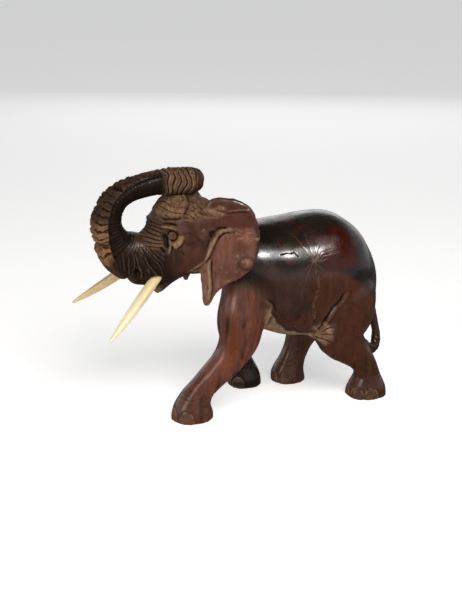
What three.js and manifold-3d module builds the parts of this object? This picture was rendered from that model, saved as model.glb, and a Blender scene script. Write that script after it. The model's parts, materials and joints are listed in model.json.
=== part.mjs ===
// Carved hardwood elephant with its trunk curled back over its head, and two bone tusks.
// Millimetres, +Z up. It faces -X, its left side is -Y, and its four soles stand on z = 0.
// The carving is modelled as its natural masses, which meet with a hairline gap; the tusks are
// separate rods pushed into drilled sockets.
import * as THREE from 'three';
import { mergeVertices } from 'three/addons/utils/BufferGeometryUtils.js';
import Module from 'manifold-3d';

const wasm = await Module();
wasm.setup();

// Driving dimensions
const GAP = 0.35; // clearance between masses that meet
const NECK_X = -20; // the head turns about a vertical line here
const HEAD_YAW = THREE.MathUtils.degToRad(10); // the head looks slightly to its left
const EAR_TILT = THREE.MathUtils.degToRad(19.5); // each ear opens backwards by this much
const EAR_ROOT = [-20, 31.5]; // x and half spacing of the ears' front edges
const EAR_THICKNESS = 6;
const EAR_TIP_THICKNESS = 2.7; // an ear thins to this at its top and at its hanging point
const TUSK_REACH = 60.5; // straight distance from where a tusk leaves the wood to its point
const TUSK_BOW = 0.8; // how far the tusk dips under that straight line, at the middle
const TUSK_RADIUS = 4.2;
const TUSK_TIP_RADIUS = 0.9;
const TUSK_FULLNESS = 2.6; // how late the tusk tapers
const PEG_LENGTH = 12; // straight end of a tusk inside its socket
const SOCKET_MOUTH = 14; // the drilled socket is cut clear this far outside the wood
const PEG_OVERLAP = 0.4; // the peg runs this far into the tusk
const PEG_STEP = 0.05; // the peg's radius is this much under the tusk's
const SOCKET_EXTRA = 1; // the socket is deeper than the peg by this much
const FLOOR_CUT = 300; // side of the block that trims the soles level
const SQUARENESS = 2.2; // section shape: 2 is an ellipse, more is squarer
const ROUND = 2;
const WELD = 1e-4; // points closer than this are one point

// Facets of each kind of mass, as [around, along]
const TORSO_FACETS = [36, 26];
const LEG_FACETS = [20, 22];
const TAIL_FACETS = [10, 20];
const EAR_FACETS = [20, 18];
const HEAD_FACETS = [28, 15];
const TRUNK_FACETS = [20, 7];
const JAW_FACETS = [14, 8];
const TUSK_FACETS = [14, 10];

// Each station is [x, y, z, ahead, behind, side]: a point on the mass's axis, and its half sizes
// there towards the axis's own upper or outer side, towards the other side, and sideways.
const TORSO = [
  [-22, 0, 144, 22, 23, 23],
  [-8, 0, 138.5, 27.5, 25.5, 30],
  [9, 0, 124, 34.5, 36, 37],
  [30, 0, 110.5, 44, 44.5, 43],
  [55, 0, 106, 50.6, 50, 46],
  [80, 0, 105, 54.2, 49, 47.5],
  [96, 0, 104, 53.6, 46.5, 46],
  [108, 0, 102, 49, 42, 42],
  [118, 0, 100, 42.5, 36.5, 36],
  [126, 0, 98, 31.5, 28.5, 28],
  [131, 0, 97, 22, 21, 20.5],
  [134, 0, 96, 12, 12, 12],
  [135.4, 0, 95.5, 4, 4, 5],
];

const HEAD = [
  [0, 0, 143, 22, 15, 18],
  [-10, 0, 147, 28, 21.5, 25],
  [-22, 0, 150, 33, 32.5, 28.5],
  [-34, 0, 148.5, 32, 36.5, 28],
  [-43, 0, 145.5, 28.8, 29.5, 26.5],
  [-50, 0, 142, 28, 22, 24.5],
  [-58, 0, 139, 25.5, 18.5, 22.5],
  [-67, 0, 137, 23.5, 18, 20.5],
  [-76, 0, 138.8, 20.8, 18.6, 17.8],
];

const TRUNK_ROOT = [
  [-76.4, 0, 139, 20.6, 18.4, 17.6],
  [-83, 0, 142.5, 19.4, 18, 16],
  [-89.5, 0, 148, 17.2, 15.8, 14.2],
  [-94, 0, 156, 13.5, 13, 12.8],
];

const TRUNK_RISE = [
  [-94.2, 0, 156.4, 13.4, 12.9, 12.7],
  [-96.8, 0, 165.4, 11.6, 12, 12.2],
  [-96.2, 0, 174.6, 9.4, 12, 11.8],
  [-92.2, 0, 183.6, 8, 11.6, 11.5],
  [-85.2, 0, 190, 7.4, 10.8, 11.3],
];

const TRUNK_CURL = [
  [-84.9, 0, 190.2, 7.4, 10.8, 11.3],
  [-75, 0, 193.4, 7.5, 10.4, 11.2],
  [-62.5, 0, 195.2, 8.4, 10.3, 11.3],
  [-50, 0, 195.8, 9.2, 10.4, 11.6],
];

const TRUNK_TIP = [
  [-49.6, 0, 195.8, 9.2, 10.4, 11.6],
  [-37, 0, 195.2, 9.8, 10.8, 12],
  [-27, 0, 194, 10, 11, 12],
  [-19.5, 0, 193.4, 9.2, 9.6, 10.6],
  [-16, 0, 193, 6.4, 7, 7],
];

const LOWER_JAW = [
  [-30, 0, 121, 3.5, 5, 10],
  [-40, 0, 118.5, 3.6, 6, 9.5],
  [-48, 0, 114.5, 4.2, 6, 8],
  [-54, 0, 109.5, 4.4, 5, 5.5],
  [-57.5, 0, 105.8, 2.4, 3, 3.2],
];

const LEFT_FORELEG = [
  [19, -22, 118, 18, 18, 12],
  [15, -25.5, 102, 19, 18, 14],
  [10.5, -27, 86, 19, 17.5, 15],
  [9.5, -27, 72, 17.6, 17.4, 14.5],
  [6, -26.5, 60, 16.2, 16.4, 13.6],
  [-3, -26, 47.5, 13.6, 12, 12.6],
  [-14.8, -25.5, 35.5, 12, 10, 12],
  [-25, -25, 24.5, 11.8, 9.8, 11.8],
  [-30.6, -25, 14.5, 14, 13.4, 13.8],
  [-32, -25, 6, 17, 17.2, 16],
  [-32, -25, -4, 17.4, 17.6, 16.2],
];

const RIGHT_FORELEG = [
  [22, 22, 114, 15, 12, 12],
  [20, 25, 96, 16, 9.5, 14],
  [19, 27, 78, 14.5, 10, 14.5],
  [18, 27.5, 60, 13, 12.5, 13.6],
  [21, 28, 42, 10, 12.2, 12.2],
  [24.2, 27.5, 28, 9.8, 11.2, 11.2],
  [27.6, 27.5, 16, 12, 12.4, 12.2],
  [29.6, 27.5, 6, 14.6, 14.6, 14.4],
  [30, 27.5, -4, 15, 15, 14.8],
];

const LEFT_HINDLEG = [
  [101, -22, 110, 22, 26, 17],
  [99, -25.5, 93, 26.5, 28, 19],
  [97.5, -27.5, 79, 27.5, 28.5, 19.5],
  [95.5, -27, 65, 24.4, 26, 17.8],
  [97, -26.5, 53, 22.6, 18.6, 15.6],
  [105.5, -26, 43, 17.6, 13.4, 13.4],
  [114.5, -25.5, 35, 13.2, 11.2, 11.8],
  [121, -25.2, 26.5, 10.6, 10.2, 11],
  [123.6, -25, 18, 11.5, 11.6, 11.8],
  [124, -25, 9.5, 15.4, 15.8, 15],
  [123.8, -25, 3, 17.2, 17.6, 15.8],
  [123.8, -25, -4, 17.4, 17.8, 16],
];

const RIGHT_HINDLEG = [
  [100, 22, 108, 22, 26, 17],
  [99, 25, 90, 24, 26, 19],
  [95.5, 26.5, 74, 23.5, 23.5, 18.5],
  [91, 26.5, 59, 19.6, 20, 16.2],
  [86, 26, 46, 15, 15.8, 13.5],
  [80.4, 25.5, 35, 11.8, 12.6, 11.4],
  [76.4, 25, 24.5, 10.6, 11.2, 10.6],
  [72.6, 25, 14, 12, 12.4, 11.8],
  [70, 25, 5, 15, 15, 14.6],
  [69.6, 25, -4, 15.3, 15.3, 15],
];

const TAIL = [
  [124, 1, 92, 4.6, 4.6, 4.6],
  [131, 1, 82, 4.8, 4.8, 4.6],
  [136, 0, 69, 4.1, 4.1, 4.1],
  [138.8, -3, 56, 3.8, 3.8, 3.8],
  [139.6, -6, 46, 4, 4, 4.1],
  [137.4, -10, 38.5, 4.5, 4.7, 4.6],
  [131.4, -14.5, 35.8, 4.6, 5.2, 4.8],
  [125.8, -18, 40.5, 4.4, 4.6, 4.4],
  [122.8, -19.5, 48, 1.9, 1.9, 1.9],
];

// Ear outlines, as [height, front edge, rear edge] along the ear's own plane
const LEFT_EAR = [
  [186.4, 8, 15],
  [185.4, 4, 22],
  [183, 0, 28.5],
  [179.5, -1.5, 33.5],
  [173, -1.5, 37.5],
  [164, -1.8, 40.6],
  [154, -2, 41.6],
  [144, -2.5, 41],
  [136, -4, 38.5],
  [129, -6, 34.5],
  [123, -6.4, 28.5],
  [117.5, -5.4, 17.5],
  [110, -4.8, 7.5],
  [103.5, -4.4, 3.8],
  [98, -2.8, 0],
];

const RIGHT_EAR = [
  [171, 6, 13],
  [168.5, 2, 18],
  [163, -1, 22],
  [152, -2, 26],
  [140, -2, 29],
  [130, -3, 28],
  [122, -5, 22],
  [116, -5, 13.5],
  [110, -4.5, 6.5],
  [104, -4, 2.5],
  [99, -2.8, 0],
];

// Each tusk as [name, x, y, z, splay, fall]: where it leaves the wood, and its two angles in degrees
const TUSKS = [
  ['left_tusk', -68.6, -17, 117.5, -30.7, 27.6],
  ['right_tusk', -69.5, 17, 125.5, 30.7, 33],
];

const UPWARD = new THREE.Vector3(0, 0, 1);
const BACKWARD = new THREE.Vector3(1, 0, 0);

const WOOD = { color: 0x3a211a, roughness: 0.32, metalness: 0 };
const EAR_WOOD = { color: 0x4a2a22, roughness: 0.4, metalness: 0 };
const CARVED_WOOD = { color: 0x46301f, roughness: 0.6, metalness: 0 };
const BONE = { color: 0xe6d6a4, roughness: 0.45, metalness: 0 };

// Curve through one group of three numbers of every station
function curveThrough(stations, first) {
  const points = stations.map((station) => new THREE.Vector3(...station.slice(first, first + 3)));
  return new THREE.CatmullRomCurve3(points, false, 'catmullrom', 0.5);
}

// Closed body around an axis: the section at t has the half sizes sizeAt(t), with softly squared
// corners. Sections stand square to the axis, or keep facing one way where facing is given.
function sweptGeometry(axis, sizeAt, [around, along], squareness = SQUARENESS, facing = null) {
  const geometry = new THREE.CylinderGeometry(1, 1, 1, around, along);
  const position = geometry.getAttribute('position');
  const soften = (value) => Math.sign(value) * Math.abs(value) ** (2 / squareness);
  const outward = new THREE.Vector3();
  for (let i = 0; i < position.count; i += 1) {
    const t = THREE.MathUtils.clamp(0.5 - position.getY(i), 0, 1);
    const tangent = axis.getTangent(t);
    const [ahead, behind, side] = sizeAt(t);
    const across = soften(position.getX(i));
    const sideways = soften(position.getZ(i));
    outward.copy(facing ?? new THREE.Vector3(-tangent.z, 0, tangent.x)).normalize();
    const point = axis.getPoint(t).addScaledVector(outward, across * (across > 0 ? ahead : behind));
    point.y -= sideways * side;
    position.setXYZ(i, point.x, point.y, point.z);
  }
  geometry.deleteAttribute('normal');
  geometry.deleteAttribute('uv');
  return mergeVertices(geometry, WELD);
}

// Manifold solid of a closed geometry, grown outwards along its surface by the given distance
function solidFrom(geometry, grow = 0) {
  geometry.computeVertexNormals();
  const position = geometry.getAttribute('position').array;
  const normal = geometry.getAttribute('normal').array;
  const vertProperties = Float32Array.from(position, (value, i) => value + grow * normal[i]);
  const triVerts = Uint32Array.from(geometry.getIndex().array);
  return new wasm.Manifold(new wasm.Mesh({ numProp: 3, vertProperties, triVerts }));
}

// One natural mass of the carving, with the slightly larger envelope its neighbours keep clear of
function mass(stations, facets, facing = null) {
  const axis = curveThrough(stations, 0);
  const sizes = curveThrough(stations, 3);
  const sizeAt = (t) => sizes.getPoint(t).toArray();
  const geometry = sweptGeometry(axis, sizeAt, facets, SQUARENESS, facing);
  return { solid: solidFrom(geometry), envelope: solidFrom(geometry, GAP) };
}

function largestBody(solid) {
  return solid.decompose().reduce((big, body) => (body.volume() > big.volume() ? body : big));
}

function cutClear(solid, ...neighbours) {
  return largestBody(neighbours.reduce((rest, neighbour) => rest.subtract(neighbour), solid));
}

function node(name, solid, look) {
  const { vertProperties, triVerts } = solid.getMesh();
  const geometry = new THREE.BufferGeometry();
  geometry.setAttribute('position', new THREE.BufferAttribute(vertProperties, 3));
  geometry.setIndex(new THREE.BufferAttribute(triVerts, 1));
  geometry.computeVertexNormals();
  const mesh = new THREE.Mesh(geometry, new THREE.MeshStandardMaterial(look));
  mesh.name = name;
  return mesh;
}

function transformed(solid, matrix) {
  return solid.transform(matrix.elements);
}

// Frames: the head turns about the neck, and each ear leans on its own root
function yawAbout(x, y, angle) {
  const matrix = new THREE.Matrix4().makeTranslation(x, y, 0);
  matrix.multiply(new THREE.Matrix4().makeRotationZ(angle));
  return matrix.multiply(new THREE.Matrix4().makeTranslation(-x, -y, 0));
}

const headTurn = yawAbout(NECK_X, 0, HEAD_YAW);
const intoHead = headTurn.clone().invert();

// A thin upright plate that follows an ear outline; side is -1 for the left ear
function ear(outline, side) {
  const stations = outline.map(([z, front, rear], i) => {
    const isEnd = i === 0 || i === outline.length - 1;
    const thickness = isEnd ? EAR_TIP_THICKNESS : EAR_THICKNESS;
    const halfLength = (rear - front) / 2;
    return [(front + rear) / 2, 0, z, halfLength, halfLength, thickness / 2];
  });
  const place = new THREE.Matrix4().makeRotationZ(side * EAR_TILT);
  place.setPosition(EAR_ROOT[0], side * EAR_ROOT[1], 0);
  return transformed(mass(stations, EAR_FACETS, BACKWARD).solid, place);
}

// Tusk towards its own +X, bowed slightly downwards, with its straight peg behind the origin
function tuskAxis() {
  return new THREE.QuadraticBezierCurve3(
    new THREE.Vector3(0, 0, 0),
    new THREE.Vector3(TUSK_REACH / 2, 0, -2 * TUSK_BOW),
    new THREE.Vector3(TUSK_REACH, 0, 0),
  );
}

function rod(start, end, radius) {
  const line = new THREE.LineCurve3(start, end);
  return solidFrom(sweptGeometry(line, () => [radius, radius, radius], [TUSK_FACETS[0], 1], ROUND));
}

function tusk() {
  const axis = tuskAxis();
  const taper = (t) => TUSK_TIP_RADIUS + (TUSK_RADIUS - TUSK_TIP_RADIUS) * (1 - t ** TUSK_FULLNESS);
  const blade = solidFrom(sweptGeometry(axis, (t) => Array(3).fill(taper(t)), TUSK_FACETS, ROUND));
  const inward = axis.getTangent(0).negate();
  const end = inward.clone().multiplyScalar(PEG_LENGTH);
  const overlap = inward.clone().multiplyScalar(-PEG_OVERLAP);
  return blade.add(rod(end, overlap, TUSK_RADIUS - PEG_STEP));
}

function socket() {
  const inward = tuskAxis().getTangent(0).negate();
  const bottom = inward.clone().multiplyScalar(PEG_LENGTH + SOCKET_EXTRA);
  return rod(bottom, inward.multiplyScalar(-SOCKET_MOUTH), TUSK_RADIUS + GAP);
}

function tuskPlace([, x, y, z, splay, fall]) {
  const place = new THREE.Matrix4().makeRotationZ(Math.PI - THREE.MathUtils.degToRad(splay));
  place.multiply(new THREE.Matrix4().makeRotationY(THREE.MathUtils.degToRad(fall)));
  return place.setPosition(x, y, z);
}

// Leg cut level at the floor and clear of the torso
function leg(stations, torso) {
  const below = new THREE.BoxGeometry(FLOOR_CUT, FLOOR_CUT, FLOOR_CUT).translate(0, 0, -FLOOR_CUT / 2);
  below.deleteAttribute('normal');
  below.deleteAttribute('uv');
  return cutClear(mass(stations, LEG_FACETS).solid, torso.envelope, solidFrom(mergeVertices(below)));
}

function buildBody(torso) {
  const legs = {
    left_foreleg: leg(LEFT_FORELEG, torso),
    right_foreleg: leg(RIGHT_FORELEG, torso),
    left_hindleg: leg(LEFT_HINDLEG, torso),
    right_hindleg: leg(RIGHT_HINDLEG, torso),
  };
  const thigh = mass(LEFT_HINDLEG, LEG_FACETS).envelope;
  const tail = cutClear(mass(TAIL, TAIL_FACETS).solid, torso.envelope, thigh);
  const body = new THREE.Group();
  body.add(node('torso', torso.solid, WOOD), node('tail', tail, WOOD));
  Object.entries(legs).forEach(([name, solid]) => body.add(node(name, solid, WOOD)));
  return body;
}

function buildHead(torso) {
  const lengths = [TRUNK_ROOT, TRUNK_RISE, TRUNK_CURL, TRUNK_TIP];
  const [root, rise, curl, tip] = lengths.map((stations) => mass(stations, TRUNK_FACETS));
  const head = mass(HEAD, HEAD_FACETS);
  const sockets = TUSKS.map((row) => transformed(socket(), tuskPlace(row)));
  const neck = transformed(torso.envelope, intoHead);
  const jaw = cutClear(mass(LOWER_JAW, JAW_FACETS).solid, head.envelope, neck);
  const group = new THREE.Group();
  group.add(
    node('head', cutClear(head.solid, neck, ...sockets), CARVED_WOOD),
    node('lower_jaw', cutClear(jaw, ...sockets), CARVED_WOOD),
    node('trunk_root', cutClear(root.solid, head.envelope, ...sockets), CARVED_WOOD),
    node('trunk_rise', cutClear(rise.solid, root.envelope), CARVED_WOOD),
    node('trunk_curl', cutClear(curl.solid, rise.envelope), CARVED_WOOD),
    node('trunk_tip', cutClear(tip.solid, curl.envelope, head.envelope), CARVED_WOOD),
  );
  TUSKS.forEach((row) => {
    const mesh = node(row[0], tusk(), BONE);
    mesh.applyMatrix4(tuskPlace(row));
    group.add(mesh);
  });
  const neckPivot = new THREE.Group();
  neckPivot.position.x = NECK_X;
  neckPivot.rotation.z = HEAD_YAW;
  group.position.x = -NECK_X;
  neckPivot.add(group);
  return { neckPivot, skull: transformed(head.envelope, headTurn) };
}

function buildElephant() {
  const torso = mass(TORSO, TORSO_FACETS, UPWARD);
  const body = buildBody(torso);
  const { neckPivot, skull } = buildHead(torso);
  [['left_ear', LEFT_EAR, -1], ['right_ear', RIGHT_EAR, 1]].forEach(([name, outline, side]) => {
    body.add(node(name, cutClear(ear(outline, side), torso.envelope, skull), EAR_WOOD));
  });
  const elephant = new THREE.Group();
  elephant.add(body, neckPivot);
  return elephant;
}

// The origin is on the floor, midway along the overall length and width
function centred(elephant) {
  elephant.updateMatrixWorld(true);
  const box = new THREE.Box3().setFromObject(elephant, true);
  const middle = box.getCenter(new THREE.Vector3());
  elephant.position.set(-middle.x, -middle.y, 0);
  return elephant;
}

export default centred(buildElephant());
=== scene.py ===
"""Looks of the carved wooden elephant and its two bone tusks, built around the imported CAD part.

Lengths are millimetres in the carving's own frame until the meshes are made: it faces -X, its
left side is -Y, its soles are on z = 0, and its mid-plane is y = 0. The head turns about a neck
line, so the head and trunk are worked in a head frame of (x, side, z), side towards the left.
"""
import json
import math

import bpy
import numpy as np
import openvdb as vdb
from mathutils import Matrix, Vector


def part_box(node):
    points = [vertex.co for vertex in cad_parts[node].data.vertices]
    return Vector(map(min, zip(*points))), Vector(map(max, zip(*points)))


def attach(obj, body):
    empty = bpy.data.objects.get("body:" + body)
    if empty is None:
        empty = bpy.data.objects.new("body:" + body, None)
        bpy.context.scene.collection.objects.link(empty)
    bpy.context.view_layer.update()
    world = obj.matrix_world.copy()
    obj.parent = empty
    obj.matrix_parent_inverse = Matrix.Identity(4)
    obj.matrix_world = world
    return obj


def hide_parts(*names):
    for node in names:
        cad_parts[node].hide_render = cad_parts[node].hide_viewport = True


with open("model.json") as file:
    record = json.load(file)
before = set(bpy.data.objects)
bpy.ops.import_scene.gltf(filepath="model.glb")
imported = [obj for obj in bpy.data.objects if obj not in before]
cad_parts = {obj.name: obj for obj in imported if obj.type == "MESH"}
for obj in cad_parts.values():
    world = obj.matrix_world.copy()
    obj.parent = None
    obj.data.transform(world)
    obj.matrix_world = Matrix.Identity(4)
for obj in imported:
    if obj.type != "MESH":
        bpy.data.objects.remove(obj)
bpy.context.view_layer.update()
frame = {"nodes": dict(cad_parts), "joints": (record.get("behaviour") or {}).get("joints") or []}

MM = 0.001
# Grid that the masses are blended on: cell size, and how many cells from a surface distances are kept
VOXEL = 1.15
BAND = 10
FAR = VOXEL * BAND
# The head turns by its yaw about an upright line through the neck
NECK_X = -20.0
HEAD_YAW = math.radians(10)
TORSO_FRONT = -22.0
# A tusk's socket is drilled from just behind the peg's end to well outside the cheek
SOCKET_RADIUS = 4.5
SOCKET_BACK = 1.0
DRILL_LENGTH = 26.0
DRILL_MARGIN = 6.0
# Points this near the ground are laid flat on it
SOLE_SNAP = 0.35

LEG_NODES = ["left_foreleg", "right_foreleg", "left_hindleg", "right_hindleg"]
BODY_NODES = ["torso"] + LEG_NODES + ["tail"]
TRUNK_NODES = ["trunk_root", "trunk_rise", "trunk_curl", "trunk_tip"]
HEAD_NODES = ["head", "lower_jaw"] + TRUNK_NODES
EAR_NODES = ["left_ear", "right_ear"]
# How widely each mass is blended into what is already there
BLENDS = [
    ("torso", 1.0), ("left_foreleg", 9.0), ("right_foreleg", 9.0), ("left_hindleg", 9.0),
    ("right_hindleg", 9.0), ("head", 6.0), ("lower_jaw", 3.0), ("trunk_root", 2.5),
    ("trunk_rise", 2.5), ("trunk_curl", 2.5), ("trunk_tip", 2.0), ("left_ear", 2.5),
    ("right_ear", 2.5), ("tail", 2.5),
]

# Rounded masses as (centre, radii): the temple runs into the left ear, and the right ear has a raised top
TEMPLE_SWELLING = ((-25, -23.5, 148), (12, 9.5, 25))
RIGHT_EAR_CORNER = ((-14.5, 29.5, 158), (10, 6.5, 20.5))

torso_low, torso_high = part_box("torso")
ORIGIN = np.array([torso_low.x / MM - TORSO_FRONT, (torso_low.y + torso_high.y) / 2 / MM, 0.0])


# ---------------------------------------------------------------- small numeric helpers
def smooth(x):
    x = np.clip(x, 0.0, 1.0)
    return x * x * (3 - 2 * x)


def window(x, start, end, soft):
    return smooth((x - start) / soft + 0.5) * smooth((end - x) / soft + 0.5)


def rise(x, start, width):
    """0 up to the start, and 1 from one width past it."""
    return smooth((x - start) / width)


def fall(x, end, width):
    """1 up to one width before the end, and 0 from the end on."""
    return smooth((end - x) / width)


def bell(x, width):
    return np.exp(-((x / width) ** 2))


def comb(x):
    """1 at each whole number and 0 halfway between them, for evenly spaced grooves."""
    return np.abs(x % 1 - 0.5) * 2


def profile(x, points):
    """Height at x of a line drawn through (x, height) points."""
    return np.interp(x, *np.transpose(points))


def lattice_noise(points, seed):
    """Smooth noise of about -1 to 1 with features one unit wide."""
    table = np.random.default_rng(seed).random((32, 32, 32)) * 2 - 1
    cell = np.floor(points).astype(int)
    part = smooth(points - cell)
    total = np.zeros(len(points))
    for corner in range(8):
        step = np.array([corner & 1, corner >> 1 & 1, corner >> 2 & 1])
        weight = np.prod(np.where(step, part, 1 - part), axis=1)
        i, j, k = ((cell + step) % 32).T
        total += weight * table[i, j, k]
    return total


def layered_noise(points, seed):
    return (lattice_noise(points, seed) + 0.5 * lattice_noise(points * 2.1 + 7, seed + 1)) / 1.3


def line_noise(along, seed):
    points = np.zeros((len(along), 3))
    points[:, 0] = along
    return lattice_noise(points, seed)


def path_distance(u, v, path):
    """Distance of each (u, v) from a polyline, and how far along it that is, from 0 to 1."""
    best = np.full(len(u), 1e9)
    along = np.zeros(len(u))
    path = np.array(path, float)
    lengths = np.hypot(*np.diff(path, axis=0).T)
    total, done = lengths.sum(), 0.0
    for a, b, length in zip(path[:-1], path[1:], lengths):
        du, dv = (b - a) / length
        t = np.clip((u - a[0]) * du + (v - a[1]) * dv, 0, length)
        distance = np.hypot(u - a[0] - t * du, v - a[1] - t * dv)
        closer = distance < best
        best = np.where(closer, distance, best)
        along = np.where(closer, (done + t) / total, along)
        done += length
    return best, along


# ---------------------------------------------------------------- one solid from the CAD masses
def node_mesh(name):
    mesh = frame["nodes"][name].data
    mesh.calc_loop_triangles()
    points = np.empty(len(mesh.vertices) * 3, np.float32)
    mesh.vertices.foreach_get("co", points)
    triangles = np.empty(len(mesh.loop_triangles) * 3, np.int32)
    mesh.loop_triangles.foreach_get("vertices", triangles)
    return points.reshape(-1, 3) / MM - ORIGIN, triangles.reshape(-1, 3)


def distance_field(name):
    points, triangles = node_mesh(name)
    grid = vdb.FloatGrid.createLevelSetFromPolygons(
        points.astype(np.float32),
        triangles=triangles.astype(np.uint32),
        transform=vdb.createLinearTransform(voxelSize=VOXEL),
        halfWidth=float(BAND),
    )
    low = np.floor(points.min(0) / VOXEL).astype(int) - BAND
    high = np.ceil(points.max(0) / VOXEL).astype(int) + BAND
    values = np.empty(high - low + 1, np.float32)
    grid.copyToArray(values, ijk=tuple(int(i) for i in low))
    return low, values


def sample(field, points):
    low, values = field
    at = np.clip(points / VOXEL - low, 0, np.array(values.shape) - 1.001)
    cell = at.astype(int)
    part = at - cell
    total = np.zeros(len(points))
    for corner in range(8):
        step = np.array([corner & 1, corner >> 1 & 1, corner >> 2 & 1])
        i, j, k = (cell + step).T
        total += np.prod(np.where(step, part, 1 - part), axis=1) * values[i, j, k]
    return total


def soft_min(a, b, width):
    near = np.maximum(width - np.abs(a - b), 0) / width
    return np.minimum(a, b) - near * near * width / 4


def ear_blend(start, shape, width):
    """An ear grows smoothly out of the head along its upper front edge, and is free elsewhere."""
    x = (start[0] + np.arange(shape[0])) * VOXEL
    z = (start[2] + np.arange(shape[2])) * VOXEL
    front = fall(x, -5, 13)[:, None, None]
    high = rise(z, 126, 14)[None, None, :]
    return width + 12 * front * high


def add_swelling(field, centre, radii):
    """Joins an ellipsoid to a mass."""
    low, values = field
    grids = np.meshgrid(*[(low[a] + np.arange(values.shape[a])) * VOXEL for a in range(3)], indexing="ij")
    away = [(g - c) / r for g, c, r in zip(grids, centre, radii)]
    inner = np.sqrt(sum(a ** 2 for a in away)) + 1e-6
    outer = np.sqrt(sum((a / r) ** 2 for a, r in zip(away, radii))) + 1e-6
    return low, soft_min(values, np.minimum(inner * (inner - 1) / outer, FAR), 5.0)


def blended_solid(fields):
    low = np.min([f[0] for f in fields.values()], axis=0)
    high = np.max([f[0] + f[1].shape for f in fields.values()], axis=0)
    values = np.full(high - low, FAR, np.float32)
    for name, width in BLENDS:
        start, part = fields[name]
        i, j, k = start - low
        a, b, c = part.shape
        here = values[i:i + a, j:j + b, k:k + c]
        if name in EAR_NODES:
            width = ear_blend(start, part.shape, width)
        here[:] = soft_min(here, part, width)
    return low, values


def tusk_line(name):
    """Where the peg of a tusk ends inside the wood, and the way it is pulled out."""
    joint = next(j for j in frame["joints"] if j["child"] == name + "_rod")
    out = np.array(joint["axis"], float)
    out /= np.linalg.norm(out)
    points, _ = node_mesh(name)
    depth = points @ out
    peg = points[depth < depth.min() + 0.05].mean(0)
    return peg, out


def around_line(points, line):
    start, out = line
    along = (points - start) @ out
    off = points - start - along[:, None] * out
    return along, off, np.linalg.norm(off, axis=1)


def drill(solid, line):
    low, values = solid
    start, out = line
    ends = np.array([start - SOCKET_BACK * out, start + DRILL_LENGTH * out])
    first = np.floor((ends.min(0) - DRILL_MARGIN) / VOXEL).astype(int) - low
    last = np.ceil((ends.max(0) + DRILL_MARGIN) / VOXEL).astype(int) - low
    first, last = np.maximum(first, 0), np.minimum(last, np.array(values.shape) - 1)
    grids = np.meshgrid(*[np.arange(a, b + 1) for a, b in zip(first, last)], indexing="ij")
    points = (np.stack([g.ravel() for g in grids], 1) + low) * VOXEL
    along, _, radius = around_line(points, line)
    hole = np.maximum(radius - SOCKET_RADIUS, -SOCKET_BACK - along)
    part = values[first[0]:last[0] + 1, first[1]:last[1] + 1, first[2]:last[2] + 1]
    part[:] = np.maximum(part, -hole.reshape(part.shape))


def skin_of(solid):
    low, values = solid
    grid = vdb.FloatGrid(FAR)
    grid.copyFromArray(values, ijk=tuple(int(i) for i in low), tolerance=0.0)
    grid.transform = vdb.createLinearTransform(voxelSize=VOXEL)
    points, quads = grid.convertToQuads(isovalue=0.0)
    points, quads = np.array(points, float), np.array(quads, int)
    a, b, c, d = (points[quads[:, i]] for i in range(4))
    volume = np.einsum("ij,ij->", np.cross(b - a, c - a), a) + np.einsum("ij,ij->", np.cross(c - a, d - a), a)
    return points, quads if volume > 0 else quads[:, ::-1]


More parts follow.
